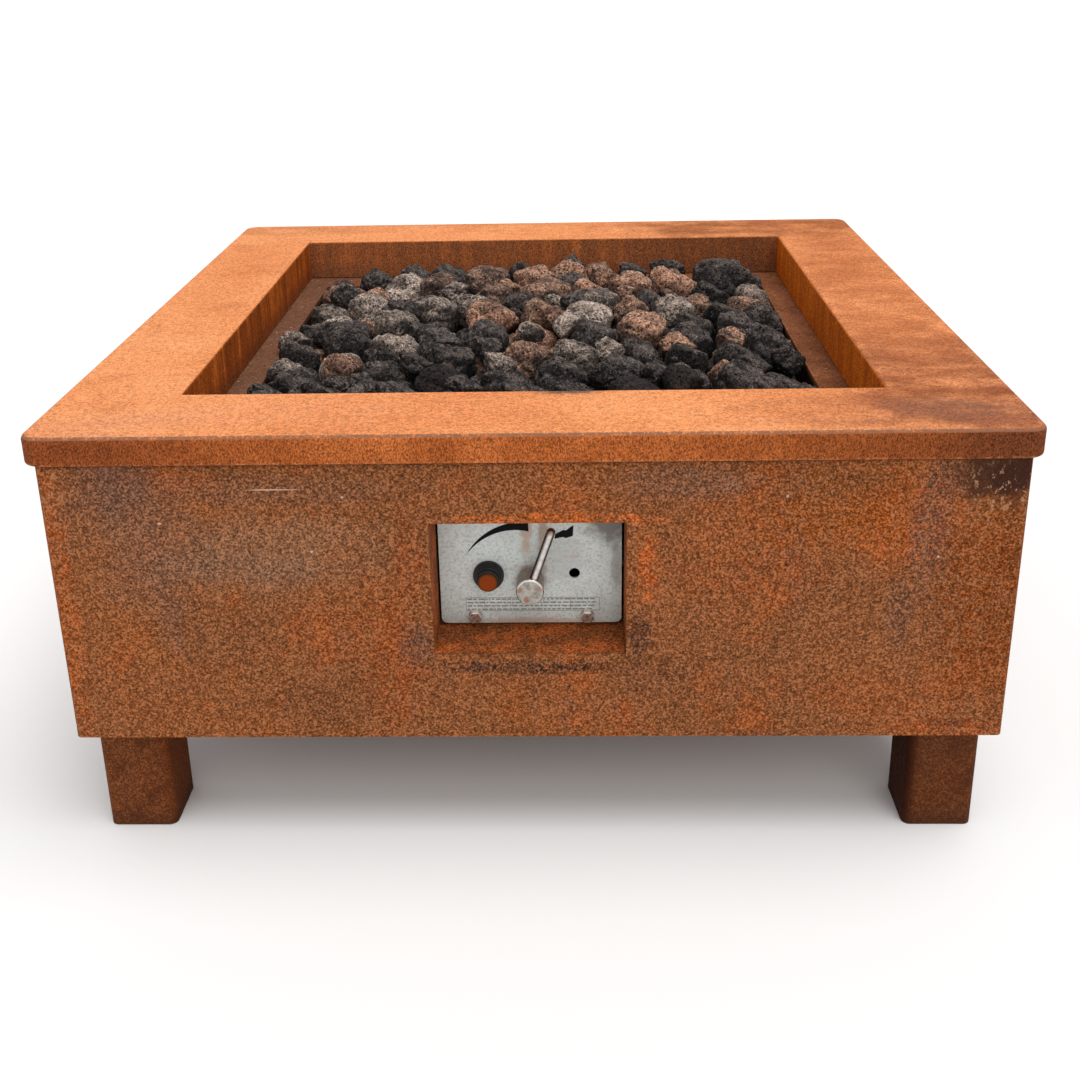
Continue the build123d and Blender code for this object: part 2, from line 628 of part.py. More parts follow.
def neighbour_planes(index, stones):
    """Planes that part one stone from each stone near it, weighted by their radii."""
    x, y, z, radius, _ = stones[index]
    planes = []
    for other, (ox, oy, oz, other_radius, _) in enumerate(stones):
        gap = np.array([ox - x, oy - y, oz - z])
        distance = np.linalg.norm(gap)
        if other == index or distance > 1.5 * (radius + other_radius):
            continue
        share = (distance**2 + radius**2 - other_radius**2) / (2 * distance)
        planes.append((gap / distance, share - STONE_GAP / 2))
    return planes


def facet_planes(radius, chance):
    """Facets of a broken, roughly round stone."""
    stretch = np.array([chance.uniform(1.05, 1.5), chance.uniform(0.85, 1.1), chance.uniform(0.85, 1.1)])
    turn = chance.uniform(0, math.pi)
    count = 9
    planes = []
    for i in range(count):
        height = 1 - 2 * (i + 0.5) / count
        angle = i * math.pi * (3 - math.sqrt(5)) + chance.uniform(-0.5, 0.5)
        ring = math.sqrt(1 - height**2)
        normal = np.array([ring * math.cos(angle), ring * math.sin(angle), height])
        local = np.array([math.cos(angle - turn) * ring, math.sin(angle - turn) * ring, height])
        support = np.linalg.norm(local * stretch)
        planes.append((normal, radius * support * chance.uniform(0.72, 1.12)))
    return planes


def corners_within(planes):
    """Corner points of the convex body inside all planes, and its shortest edge."""
    normals = np.array([normal for normal, _ in planes])
    offsets = np.array([offset for _, offset in planes])
    triples = np.array(list(itertools.combinations(range(len(planes)), 3)))
    matrices = normals[triples]
    solvable = np.abs(np.linalg.det(matrices)) > 1e-3
    triples, matrices = triples[solvable], matrices[solvable]
    points = np.linalg.solve(matrices, offsets[triples][..., None])[..., 0]
    inside = (points @ normals.T <= offsets + 1e-7).all(axis=1)
    points = points[inside]
    apart = np.linalg.norm(points[:, None] - points[None], axis=2)
    apart[np.arange(len(points)), np.arange(len(points))] = np.inf
    return points, apart.min()


def stone_solid(index, stones, chance):
    """One faceted stone, redrawn until it has no very short edge."""
    x, y, z, radius, _ = stones[index]
    fixed = bounding_planes(stones[index]) + neighbour_planes(index, stones)
    best, longest = None, 0.0
    for _ in range(25):
        points, shortest = corners_within(fixed + facet_planes(radius, chance))
        if shortest > longest:
            best, longest = points, shortest
        if shortest > 0.8:
            break
    return Pos(x, y, z) * ConvexPolyhedron([tuple(point) for point in best])


def stone_nodes():
    chance = random.Random(STONE_SEED)
    stones = scatter_stones(chance)
    heap = {"black": [], "grey": [], "brown": []}
    for index, stone in enumerate(stones):
        heap[stone[4]].append(stone_solid(index, stones, chance))
    print("stones:", {colour: len(solids) for colour, solids in heap.items()})
    return {f"lava_stones_{colour}": group(solids) for colour, solids in heap.items()}


def main():
    nodes = {"base_plate": base_plate(), "burner_pan": burner_pan(), "pan_support_rails": pan_support_rails()}
    makers = [
        shell_nodes,
        leg_nodes,
        recess_nodes,
        control_plate_nodes,
        igniter_nodes,
        valve_nodes,
        lever_nodes,
        grate_nodes,
        burner_nodes,
        probe_nodes,
        gas_pipe_nodes,
        stone_nodes,
    ]
    for maker in makers:
        nodes.update(maker())
    os.makedirs("parts", exist_ok=True)
    for name, shape in nodes.items():
        export_step(shape, f"parts/{name}.step")


main()
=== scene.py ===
import math
import random

import bmesh
import bpy
from mathutils import Matrix, Vector, noise


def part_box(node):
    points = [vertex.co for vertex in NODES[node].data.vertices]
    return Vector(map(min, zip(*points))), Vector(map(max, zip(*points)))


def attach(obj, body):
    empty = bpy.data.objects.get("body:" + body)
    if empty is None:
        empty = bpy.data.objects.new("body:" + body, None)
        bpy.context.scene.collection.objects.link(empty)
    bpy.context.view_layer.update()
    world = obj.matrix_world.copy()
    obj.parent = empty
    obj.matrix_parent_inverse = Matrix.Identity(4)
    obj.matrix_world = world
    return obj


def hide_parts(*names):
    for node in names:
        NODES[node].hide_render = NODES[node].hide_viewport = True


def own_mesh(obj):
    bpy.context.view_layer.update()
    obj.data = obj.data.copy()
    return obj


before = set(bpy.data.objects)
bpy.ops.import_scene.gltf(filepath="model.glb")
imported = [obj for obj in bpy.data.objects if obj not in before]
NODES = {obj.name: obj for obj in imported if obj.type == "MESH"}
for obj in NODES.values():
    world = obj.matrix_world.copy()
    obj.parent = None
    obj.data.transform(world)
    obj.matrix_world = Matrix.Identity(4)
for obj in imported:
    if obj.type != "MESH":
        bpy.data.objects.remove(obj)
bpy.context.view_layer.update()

# ---- places taken from the frame ----
RIM_LOW, RIM_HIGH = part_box("rim_front")
PLATE_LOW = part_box("control_plate")[0]
PAN_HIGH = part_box("burner_pan")[1]
BODY_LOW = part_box("front_panel")[0]
HUB_LOW, HUB_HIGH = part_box("lever_hub")
LEVER_X = (HUB_LOW.x + HUB_HIGH.x) / 2
LEVER_Z = (HUB_LOW.z + HUB_HIGH.z) / 2
TOP_Z = RIM_HIGH.z
LEG_LOW, LEG_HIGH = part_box("leg_front_right")
LEG_X = (LEG_LOW.x + LEG_HIGH.x) / 2
SKIRT_HEIGHT = 0.025
SKIRT_Z = TOP_Z - SKIRT_HEIGHT  # lower edge of the rim's outer skirt
BODY_HALF = -BODY_LOW.y
PLATE_FRONT = PLATE_LOW.y
WINDOW_LOW_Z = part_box("recess_shelf")[1].z
WINDOW_HIGH_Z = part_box("recess_roof")[0].z


# ---- material building ----
def rgb(red, green, blue):
    """Linear colour from 0-255 display values."""
    return tuple(((c / 255 + 0.055) / 1.055) ** 2.4 for c in (red, green, blue)) + (1.0,)


class Paint:
    """One procedural material, built by short calls that return node sockets."""

    def __init__(self, name, roughness=0.8, metallic=0.0, specular=0.5):
        self.material = bpy.data.materials.new(name)
        self.material.use_nodes = True
        self.tree = self.material.node_tree
        self.tree.nodes.clear()
        self.shader = self.tree.nodes.new("ShaderNodeBsdfPrincipled")
        output = self.tree.nodes.new("ShaderNodeOutputMaterial")
        self.tree.links.new(self.shader.outputs["BSDF"], output.inputs["Surface"])
        self.shader.inputs["Roughness"].default_value = roughness
        self.shader.inputs["Metallic"].default_value = metallic
        self.shader.inputs["Specular IOR Level"].default_value = specular
        place = self.tree.nodes.new("ShaderNodeTexCoord")
        self.place = place.outputs["Object"]
        self.axes = self.node("ShaderNodeSeparateXYZ", Vector=self.place).outputs
        facing = self.node("ShaderNodeNewGeometry").outputs["Normal"]
        self.facing = self.node("ShaderNodeSeparateXYZ", Vector=facing).outputs
        self.own_facing = self.node("ShaderNodeSeparateXYZ", Vector=place.outputs["Normal"]).outputs

    def node(self, kind, **inputs):
        made = self.tree.nodes.new(kind)
        for key, value in inputs.items():
            self.put(made.inputs[key.replace("_", " ")], value)
        return made

    def put(self, socket, value):
        if isinstance(value, bpy.types.NodeSocket):
            self.tree.links.new(value, socket)
        else:
            socket.default_value = value

    def math(self, operation, *values):
        made = self.tree.nodes.new("ShaderNodeMath")
        made.operation = operation
        for socket, value in zip(made.inputs, values):
            self.put(socket, value)
        return made.outputs[0]

    def times(self, *values):
        product = values[0]
        for value in values[1:]:
            product = self.math("MULTIPLY", product, value)
        return product

    def noise(self, size, detail=4.0, rough=0.55, stretch=(1, 1, 1), offset=0.0, warp=0.0):
        """Cloud noise from 0 to 1 whose patches are about size metres wide."""
        scale = tuple(s / size for s in stretch)
        mapping = self.node("ShaderNodeMapping", Vector=self.place, Scale=scale, Location=(offset,) * 3)
        made = self.node("ShaderNodeTexNoise", Vector=mapping.outputs[0], Scale=1.0, Detail=detail,
                         Roughness=rough, Distortion=warp)
        return made.outputs["Fac"]

    def cells(self, size, offset=0.0):
        """Distance to the nearest cell's middle, and a colour for each cell."""
        mapping = self.node("ShaderNodeMapping", Vector=self.place, Scale=(1 / size,) * 3,
                            Location=(offset,) * 3)
        made = self.node("ShaderNodeTexVoronoi", Vector=mapping.outputs[0], Scale=1.0)
        return made.outputs["Distance"], made.outputs["Color"]

    def band(self, value, low, high):
        """Smooth step from 0 at low to 1 at high."""
        made = self.node("ShaderNodeMapRange", Value=value, From_Min=low, From_Max=high)
        made.interpolation_type = "SMOOTHSTEP"
        return made.outputs[0]

    def spread(self, value, low, high):
        """The value's usual range of 0.35 to 0.65, stretched to low to high."""
        made = self.node("ShaderNodeMapRange", Value=value, From_Min=0.35, From_Max=0.65, To_Min=low,
                         To_Max=high)
        return made.outputs[0]

    def ramp(self, value, *stops):
        """Colour that runs through the stops, each a position and a colour."""
        made = self.node("ShaderNodeValToRGB", Fac=value)
        elements = made.color_ramp.elements
        while len(elements) < len(stops):
            elements.new(0.5)
        for element, (position, colour) in zip(elements, stops):
            element.position = position
            element.color = colour
        return made.outputs[0]

    def mix(self, share, under, over):
        """The under colour with a share of the over colour."""
        made = self.tree.nodes.new("ShaderNodeMix")
        made.data_type = "RGBA"
        self.put(made.inputs["Factor"], share)
        self.put([s for s in made.inputs if s.name == "A" and s.type == "RGBA"][0], under)
        self.put([s for s in made.inputs if s.name == "B" and s.type == "RGBA"][0], over)
        return [s for s in made.outputs if s.type == "RGBA"][0]

    def shade(self, colour, factor):
        made = self.tree.nodes.new("ShaderNodeVectorMath")
        made.operation = "SCALE"
        self.put(made.inputs[0], colour)
        self.put(made.inputs["Scale"], factor)
        return made.outputs[0]

    def outward(self):
        """Distance from the object's middle along X or along Y, whichever is more."""
        return self.math("MAXIMUM", *[self.math("ABSOLUTE", self.axes[axis]) for axis in "XY"])

    def radius(self, x, z):
        """Distance from an axis along Y through x, z."""
        across = self.math("SUBTRACT", self.axes["X"], x)
        up = self.math("SUBTRACT", self.axes["Z"], z)
        return self.math("SQRT", self.math("ADD", self.times(across, across), self.times(up, up)))

    def spot(self, centre, radii, ragged=0.35, grain=0.03):
        """1 in the middle of a blot, 0 outside it, with a ragged edge."""
        offset = self.node("ShaderNodeVectorMath", Vector=self.place)
        offset.operation = "SUBTRACT"
        offset.inputs[1].default_value = centre
        scaled = self.node("ShaderNodeVectorMath")
        scaled.operation = "DIVIDE"
        self.put(scaled.inputs[0], offset.outputs[0])
        scaled.inputs[1].default_value = radii
        length = self.node("ShaderNodeVectorMath")
        length.operation = "LENGTH"
        self.put(length.inputs[0], scaled.outputs[0])
        wobble = self.times(self.noise(grain, 5, 0.65, offset=centre[0] * 7), ragged * 2)
        distance = self.math("ADD", length.outputs["Value"], self.math("SUBTRACT", wobble, ragged))
        return self.band(distance, 1.0, 0.35)

    def stain(self, colour, blots, grain=None, ragged=0.55, size=0.02):
        """Colour with blots laid over it; grain makes them patchy where it is low."""
        for centre, radii, share, tint in blots:
            mask = self.times(self.spot(centre, radii, ragged, size), share)
            if grain is not None:
                mask = self.times(mask, self.math("ADD", self.times(grain, 0.75), 0.25))
            colour = self.mix(mask, colour, tint)
        return colour

    def bump(self, height, distance, strength=1.0, below=None):
        """Normal for a height of up to distance metres, on top of the normal below."""
        made = self.node("ShaderNodeBump", Height=height, Distance=distance, Strength=strength)
        if below is not None:
            self.put(made.inputs["Normal"], below)
        return made.outputs[0]

    def finish(self, colour=None, roughness=None, normal=None, metallic=None):
        """Passes what is given to the shader, and returns the material."""
        for key, value in (("Base Color", colour), ("Roughness", roughness), ("Normal", normal),
                           ("Metallic", metallic)):
            if value is not None:
                self.put(self.shader.inputs[key], value)
        return self.material


# ---- rust ----
RUST_GLOSS = 0.06


def rust_grain(paint, coarse_share, fine_share, offset=0.0, stretch=(1, 1, 1)):
    """Factor about 1 that speckles a rust colour, with grains under 2 mm on a mottle of 5 mm."""
    coarse = paint.spread(paint.noise(0.0055, 3, 0.7, stretch, offset + 4), -coarse_share, coarse_share)
    fine = paint.spread(paint.noise(0.0016, 2, 0.7, stretch, offset + 9), -fine_share, fine_share)
    total = paint.math("ADD", paint.math("ADD", coarse, fine), 1.0)
    return paint.math("MAXIMUM", total, 0.25), fine


def rust_bump(paint, strength=1.0):
    """Fine scale of rust over a slightly uneven sheet."""
    fine = paint.noise(0.0018, 3, 0.7)
    coarse = paint.noise(0.006, 4, 0.65, offset=3.1)
    waves = paint.noise(0.18, 1, 0.4, offset=8.0)
    normal = paint.bump(waves, 0.0012, 0.25)
    normal = paint.bump(coarse, 0.0009, 0.35 * strength, normal)
    return paint.bump(fine, 0.0005, 0.5 * strength, normal)


def rust_roughness(paint, low=0.6, high=0.85):
    """Uneven roughness from low to high."""
    return paint.spread(paint.noise(0.004, 3, 0.75, offset=5.0), low, high)


def rim_top(paint):
    """Bright orange of the flat band, brushed along X, with burnt corners."""
    cloud = paint.noise(0.17, 5, 0.62, (0.7, 1, 1), warp=0.4)
    colour = paint.ramp(cloud, (0.30, rgb(218, 134, 83)), (0.5, rgb(234, 150, 96)),
                        (0.72, rgb(241, 160, 108)))
    brown = paint.times(paint.band(paint.noise(0.10, 5, 0.65, offset=17.0), 0.53, 0.72), 0.5)
    colour = paint.mix(brown, colour, rgb(190, 112, 66))
    streaks = paint.times(paint.band(paint.noise(0.012, 4, 0.6, (0.12, 1, 1), 23.0), 0.52, 0.68), 0.22)
    colour = paint.mix(streaks, colour, rgb(202, 118, 70))
    blots = [
        ((0.36, -0.30, TOP_Z), (0.15, 0.24, 0.10), 1.0, rgb(150, 85, 53)),
        ((0.335, -0.355, TOP_Z), (0.075, 0.034, 0.05), 0.65, rgb(112, 84, 72)),
        ((0.29, -0.385, TOP_Z), (0.10, 0.02, 0.05), 0.45, rgb(150, 94, 66)),
        ((0.25, -0.360, TOP_Z), (0.13, 0.05, 0.05), 0.45, rgb(176, 104, 66)),
        ((0.37, -0.375, TOP_Z), (0.06, 0.04, 0.05), 0.55, rgb(150, 92, 68)),
        ((-0.34, -0.375, TOP_Z), (0.12, 0.04, 0.05), 0.40, rgb(206, 138, 104)),
        ((-0.22, -0.35, TOP_Z), (0.16, 0.05, 0.05), 0.35, rgb(224, 150, 110)),
        ((0.28, 0.355, TOP_Z), (0.26, 0.09, 0.06), 1.0, rgb(158, 92, 52)),
        ((-0.32, 0.375, TOP_Z), (0.16, 0.05, 0.06), 0.45, rgb(176, 106, 64)),
        ((-0.02, 0.395, TOP_Z), (0.32, 0.030, 0.06), 0.30, rgb(180, 112, 68)),
        ((0.35, 0.06, TOP_Z), (0.09, 0.40, 0.05), 0.90, rgb(188, 110, 66)),
        ((-0.352, 0.10, TOP_Z), (0.04, 0.20, 0.05), 0.30, rgb(206, 122, 68)),
    ]
    streaky = paint.band(paint.noise(0.034, 4, 0.62, (0.55, 1, 1), 61.0), 0.26, 0.64)
    colour = paint.stain(colour, blots, streaky, ragged=0.6, size=0.05)
    soot = paint.times(paint.spot((0.035, -0.302, TOP_Z), (0.040, 0.013, 0.013), 0.5, 0.012), 0.85)
    return paint.mix(soot, colour, rgb(84, 76, 70))


def rim_sides(paint):
    """Outer skirt, orange in the middle of the front and browner at its ends, and the walls of the well;
    with a painted highlight along the skirt's lower edge, painted shade towards the foot of the walls and
    painted light on the right wall.
    """
    cloud = paint.noise(0.05, 4, 0.6, offset=2.0)
    skirt = paint.ramp(cloud, (0.3, rgb(144, 75, 33)), (0.5, rgb(163, 87, 41)), (0.7, rgb(180, 100, 51)))
    ends = paint.band(paint.math("ABSOLUTE", paint.axes["X"]), 0.12, 0.39)
    skirt = paint.mix(paint.times(ends, 0.85), skirt, rgb(116, 58, 28))
    skirt = paint.mix(paint.times(paint.band(paint.axes["X"], -0.05, 0.30), 0.28), skirt, rgb(112, 58, 26))
    burnt = paint.spot((0.385, -RIM_HIGH.x, SKIRT_Z + 0.012), (0.085, 0.06, 0.022), 0.6, 0.02)
    skirt = paint.mix(paint.times(burnt, 0.6), skirt, rgb(92, 50, 30))
    # painted highlight: a paler line along the skirt's lower edge, where it would catch the light
    hem = paint.band(paint.axes["Z"], SKIRT_Z + 0.0032, SKIRT_Z + 0.0010)
    hem = paint.times(hem, paint.band(paint.noise(0.006, 3, 0.7, offset=31.0), 0.42, 0.60), 0.45)
    skirt = paint.mix(hem, skirt, rgb(206, 128, 84))
    inside = paint.band(paint.outward(), 0.345, 0.305)
    streaks = paint.noise(0.014, 4, 0.65, (1, 1, 0.16), 2.0)
    # the walls of the well are darker than the top, partly their own rust and partly painted shade deep in
    # the well
    wall = paint.ramp(streaks, (0.30, rgb(116, 56, 18)), (0.5, rgb(160, 78, 24)), (0.70, rgb(206, 108, 36)))
    # painted shade: the walls darken towards the foot of the well
    foot = paint.band(paint.axes["Z"], RIM_LOW.z + 0.024, RIM_LOW.z + 0.004)
    wall = paint.mix(paint.times(foot, 0.7), wall, rgb(116, 62, 34))
    rear = paint.band(paint.axes["Y"], 0.285, 0.299)
    wall = paint.mix(paint.times(rear, 0.5), wall, rgb(138, 96, 68))
    wall = paint.mix(paint.times(rear, paint.band(paint.axes["X"], 0.02, 0.26), 0.5), wall, rgb(96, 60, 38))
    # painted light: the well's right wall, which faces away from the light, is painted lighter and more
    # orange
    right = paint.times(paint.band(paint.own_facing["X"], -0.3, -0.8), inside, 0.85)
    wall = paint.mix(right, wall, paint.ramp(streaks, (0.30, rgb(182, 86, 14)), (0.70, rgb(230, 120, 28))))
    return paint.mix(inside, skirt, wall)


def rim_paint():
    """Rim cover: bright on top, browner on its skirt and in the well; the step between them is partly the
    rust's own colour and partly painted light and shade.
    """
    paint = Paint("rust_rim", specular=RUST_GLOSS)
    # faces turned up take the bright top colour and the others the darker side colour: partly their own
    # rust, partly painted light from above and painted shade on the sides
    upward = paint.band(paint.facing["Z"], 0.30, 0.85)
    top_grain, _ = rust_grain(paint, 0.15, 0.36)
    side_grain, _ = rust_grain(paint, 0.10, 0.60, 5.0, (1.5, 1.5, 0.8))
    sides = paint.shade(rim_sides(paint), side_grain)
    colour = paint.mix(upward, sides, paint.shade(rim_top(paint), top_grain))
    # the outer fold is rubbed to a dull greyish brown
    fold = paint.times(paint.band(paint.facing["Z"], 0.35, 0.6), paint.band(paint.facing["Z"], 0.985, 0.85))
    outer = paint.band(paint.outward(), 0.34, 0.38)
    worn = paint.band(paint.noise(0.003, 3, 0.7, offset=27.0), 0.25, 0.55)
    colour = paint.mix(paint.times(fold, outer, worn, 0.95), colour, rgb(134, 94, 74))
    return paint.finish(colour, rust_roughness(paint), rust_bump(paint, 0.6))


def body_rust(paint, offset=0.0):
    """Brown mottled ground with orange bloom and grey runs."""
    cloud = paint.noise(0.13, 5, 0.62, offset=offset, warp=0.5)
    colour = paint.ramp(cloud, (0.3, rgb(114, 68, 38)), (0.5, rgb(127, 75, 42)), (0.72, rgb(138, 77, 36)))
    runs = paint.noise(0.035, 5, 0.6, (1, 1, 0.30), offset + 21)
    colour = paint.mix(paint.times(paint.band(runs, 0.56, 0.72), 0.45), colour, rgb(104, 72, 56))
    bloom = paint.noise(0.085, 6, 0.72, offset=offset + 31)
    return paint.mix(paint.times(paint.band(bloom, 0.54, 0.68), 0.6), colour, rgb(150, 74, 28))


def grained(paint, colour, offset=0.0, shade=1.0):
    """Colour with the rust's grain over it, light grains a little paler; also gives the light grains."""
    factor, fine = rust_grain(paint, 0.15, 0.62, offset)
    light = paint.band(fine, 0.05, 0.35)
    colour = paint.mix(paint.times(light, 0.14), colour, rgb(200, 142, 104))
    return paint.shade(colour, paint.times(factor, shade)), light


BLOT_DEPTH = 0.1  # a blot on the front panel reaches through its sheet


def on_front(blots):
    """Blots on the front panel, each from its x and z, its radii along them, and what follows unchanged."""
    return [((x, -BODY_HALF, z), (across, BLOT_DEPTH, tall), *rest) for x, z, across, tall, *rest in blots]


def front_paint():
    """Front panel, with the stains that gather round the window and at the corners."""
    paint = Paint("rust_front", specular=RUST_GLOSS)
    colour = body_rust(paint)
    patchy = paint.band(paint.noise(0.0042, 5, 0.8, offset=50.0), 0.42, 0.56)
    smears = [
        (-0.22, 0.275, 0.13, 0.048, 0.50, rgb(126, 92, 68)),
        (-0.235, 0.262, 0.085, 0.022, 0.45, rgb(118, 88, 68)),
        (-0.31, 0.290, 0.08, 0.080, 0.50, rgb(110, 78, 60)),
        (-0.21, 0.330, 0.18, 0.018, 0.40, rgb(106, 72, 54)),
        (-0.33, 0.345, 0.05, 0.045, 0.45, rgb(92, 66, 56)),
    ]
    colour = paint.stain(colour, on_front(smears), ragged=0.7, size=0.05)
    rust_blots_and_lit_edge = [
        # the first blot is a painted highlight: a lighter orange strip down the left edge, where the rounded
        # corner would catch the light
        (-0.388, 0.23, 0.015, 0.200, 0.80, rgb(156, 78, 32)),
        (0.30, 0.300, 0.065, 0.060, 0.55, rgb(170, 76, 22)),
        (0.355, 0.225, 0.045, 0.120, 0.85, rgb(120, 56, 10)),
        (0.37, 0.27, 0.03, 0.040, 0.50, rgb(132, 62, 18)),
        (0.18, 0.27, 0.08, 0.08, 0.45, rgb(158, 76, 28)),
        (0.02, WINDOW_HIGH_Z + 0.003, 0.13, 0.008, 0.85, rgb(188, 92, 34)),
        (0.095, 0.262, 0.014, 0.050, 0.75, rgb(178, 84, 30)),
        (0.36, 0.106, 0.07, 0.012, 0.55, rgb(150, 66, 20)),
        (0.24, 0.312, 0.095, 0.050, 0.80, rgb(130, 64, 12)),
        (0.388, 0.24, 0.028, 0.160, 0.80, rgb(106, 50, 8)),
        (0.28, 0.140, 0.08, 0.030, 0.35, rgb(152, 72, 26)),
        (-0.12, 0.19, 0.04, 0.09, 0.55, rgb(132, 62, 22)),
        (-0.10, 0.27, 0.018, 0.05, 0.55, rgb(140, 64, 22)),
    ]
    blooming = paint.band(paint.noise(0.011, 5, 0.78, offset=83.0), 0.47, 0.57)
    colour = paint.stain(colour, on_front(rust_blots_and_lit_edge), blooming)
    dull = [
        (0.330, 0.335, 0.030, 0.022, 0.60, rgb(84, 60, 50)),
        (0.316, 0.285, 0.022, 0.060, 0.60, rgb(92, 70, 60)),
        (0.300, 0.215, 0.016, 0.045, 0.50, rgb(92, 68, 58)),
        (0.13, 0.335, 0.075, 0.020, 0.60, rgb(96, 74, 64)),
        (0.24, 0.330, 0.07, 0.018, 0.45, rgb(98, 64, 44)),
        (0.0, WINDOW_LOW_Z - 0.012, 0.105, 0.010, 0.95, rgb(52, 32, 26)),
        (-0.098, 0.190, 0.020, 0.030, 0.70, rgb(84, 62, 54)),
        (0.088, 0.198, 0.015, 0.034, 0.85, rgb(60, 38, 32)),
        (0.10, 0.160, 0.05, 0.028, 0.45, rgb(92, 58, 40)),
        (0.345, 0.112, 0.020, 0.010, 0.55, rgb(84, 44, 24)),
    ]
    colour = paint.stain(colour, on_front(dull), patchy)
    colour, light = grained(paint, colour)
    burnt = [(0.370, 0.342, 0.050, 0.036, 0.88, rgb(66, 40, 28)),
             (0.385, 0.340, 0.034, 0.026, 0.60, rgb(46, 26, 22))]
    colour = paint.stain(colour, on_front(burnt), ragged=0.7)
    scratched = [(0.366, 0.324, 0.048, 0.034), (-0.385, 0.33, 0.014, 0.035)]
    flakes = paint.band(paint.noise(0.0042, 4, 0.72, (1, 1, 0.6), 40.0), 0.57, 0.62)
    for centre, radii in on_front(scratched):
        share = paint.times(flakes, paint.spot(centre, radii), 0.80)
        colour = paint.mix(share, colour, rgb(176, 132, 100))
    chips = [(-0.178, 0.276, 0.0016, 0.0016), (-0.300, 0.302, 0.0022, 0.0014),
             (0.205, 0.322, 0.0014, 0.0016), (0.328, 0.268, 0.0016, 0.0014),
             (-0.205, 0.331, 0.030, 0.0007), (-0.150, 0.324, 0.0016, 0.0014)]
    for centre, radii in on_front(chips):
        chip = paint.times(paint.spot(centre, radii, 0.2, 0.004), 0.7)
        colour = paint.mix(chip, colour, rgb(214, 190, 172))
    shadow = paint.band(paint.axes["Z"], SKIRT_Z - 0.006, SKIRT_Z - 0.001)
    colour = paint.mix(paint.times(shadow, 0.55), colour, rgb(66, 36, 18))
    hem = paint.times(paint.band(paint.axes["Z"], BODY_LOW.z + 0.0035, BODY_LOW.z + 0.001), 0.35)
    colour = paint.mix(paint.times(hem, light), colour, rgb(190, 112, 62))
    return paint.finish(colour, rust_roughness(paint), rust_bump(paint))


def panel_paint(name, shade=1.0, offset=0.0, rich=0.0, aged=0.0):
    """Rusted sheet; rich is the share of orange that sheltered faces keep, aged that of weather stains, and
    shade scales its brightness, painting light above 1 and shade below 1.
    """
    paint = Paint(name, specular=RUST_GLOSS)
    colour = body_rust(paint, offset)
    if aged:
        smears = paint.band(paint.noise(0.09, 5, 0.66, (1, 1, 1.8), offset + 41), 0.53, 0.68)
        colour = paint.mix(paint.times(smears, aged), colour, rgb(122, 92, 72))
        soot = paint.band(paint.noise(0.05, 5, 0.72, offset=offset + 57), 0.60, 0.70)
        colour = paint.mix(paint.times(soot, aged), colour, rgb(74, 48, 38))
        bright = paint.band(paint.noise(0.06, 5, 0.7, offset=offset + 69), 0.58, 0.70)
        colour = paint.mix(paint.times(bright, aged), colour, rgb(170, 80, 26))
        low = paint.band(paint.axes["Z"], BODY_LOW.z + 0.030, BODY_LOW.z)
        colour = paint.mix(paint.times(low, aged, 0.7), colour, rgb(92, 56, 36))
    if rich:
        patches = paint.band(paint.noise(0.022, 5, 0.7, offset=offset + 3), 0.46, 0.60)
        colour = paint.mix(rich, colour, paint.mix(patches, rgb(112, 56, 20), rgb(186, 86, 22)))
    colour, _ = grained(paint, colour, offset, shade)
    return paint.finish(colour, rust_roughness(paint), rust_bump(paint))


def leg_paint():
    """Darker rust, darkest at the foot, with painted shade on the sides that face the middle, deepest on the
    right legs.
    """
    paint = Paint("rust_legs", specular=RUST_GLOSS)
    colour, _ = grained(paint, body_rust(paint, 60.0), 60.0, 0.66)
    dark = paint.band(paint.noise(0.03, 5, 0.7, offset=71.0), 0.5, 0.64)
    colour = paint.mix(paint.times(dark, 0.6), colour, rgb(52, 30, 22))
    colour = paint.mix(0.35, colour, rgb(98, 44, 8))
    right = paint.band(paint.axes["X"], 0.0, 0.1)
    colour = paint.mix(paint.times(right, 0.35), colour, rgb(60, 30, 16))
    # painted shade: the sides that face the middle are darkened, most on the right legs
    across = paint.math("SUBTRACT", paint.math("ABSOLUTE", paint.axes["X"]), LEG_X)
    inner = paint.band(across, -0.018, -0.030)
    colour = paint.mix(paint.times(inner, 0.35), colour, rgb(84, 34, 6))
    colour = paint.mix(paint.times(inner, right, 0.75), colour, rgb(34, 10, 2))
    foot = paint.times(paint.band(paint.axes["Z"], 0.020, 0.0), 0.5)
    colour = paint.mix(foot, colour, rgb(60, 36, 26))
    return paint.finish(colour, rust_roughness(paint, 0.55, 0.8), rust_bump(paint))


def pan_paint():
    """Dull red-brown sheet with paler grit, dark down in the tray."""
    paint = Paint("rust_pan", specular=RUST_GLOSS)
    cloud = paint.noise(0.07, 5, 0.65, warp=0.3)
    colour = paint.ramp(cloud, (0.3, rgb(114, 68, 42)), (0.5, rgb(132, 82, 54)), (0.72, rgb(146, 92, 60)))
    left = paint.band(paint.axes["X"], -0.20, -0.28)
    colour = paint.mix(paint.times(left, 0.5), colour, rgb(104, 80, 66))
    factor, _ = rust_grain(paint, 0.18, 0.42, 6.0)
    colour = paint.shade(colour, factor)
    grit = paint.band(paint.noise(0.004, 1, 0.5, offset=12.0), 0.71, 0.75)
    colour = paint.mix(grit, colour, rgb(206, 162, 130))
    deep = paint.band(paint.axes["Z"], PAN_HIGH.z - 0.001, PAN_HIGH.z - 0.008)
    colour = paint.mix(deep, colour, rgb(40, 27, 23))
    return paint.finish(colour, 0.75, rust_bump(paint, 0.6))


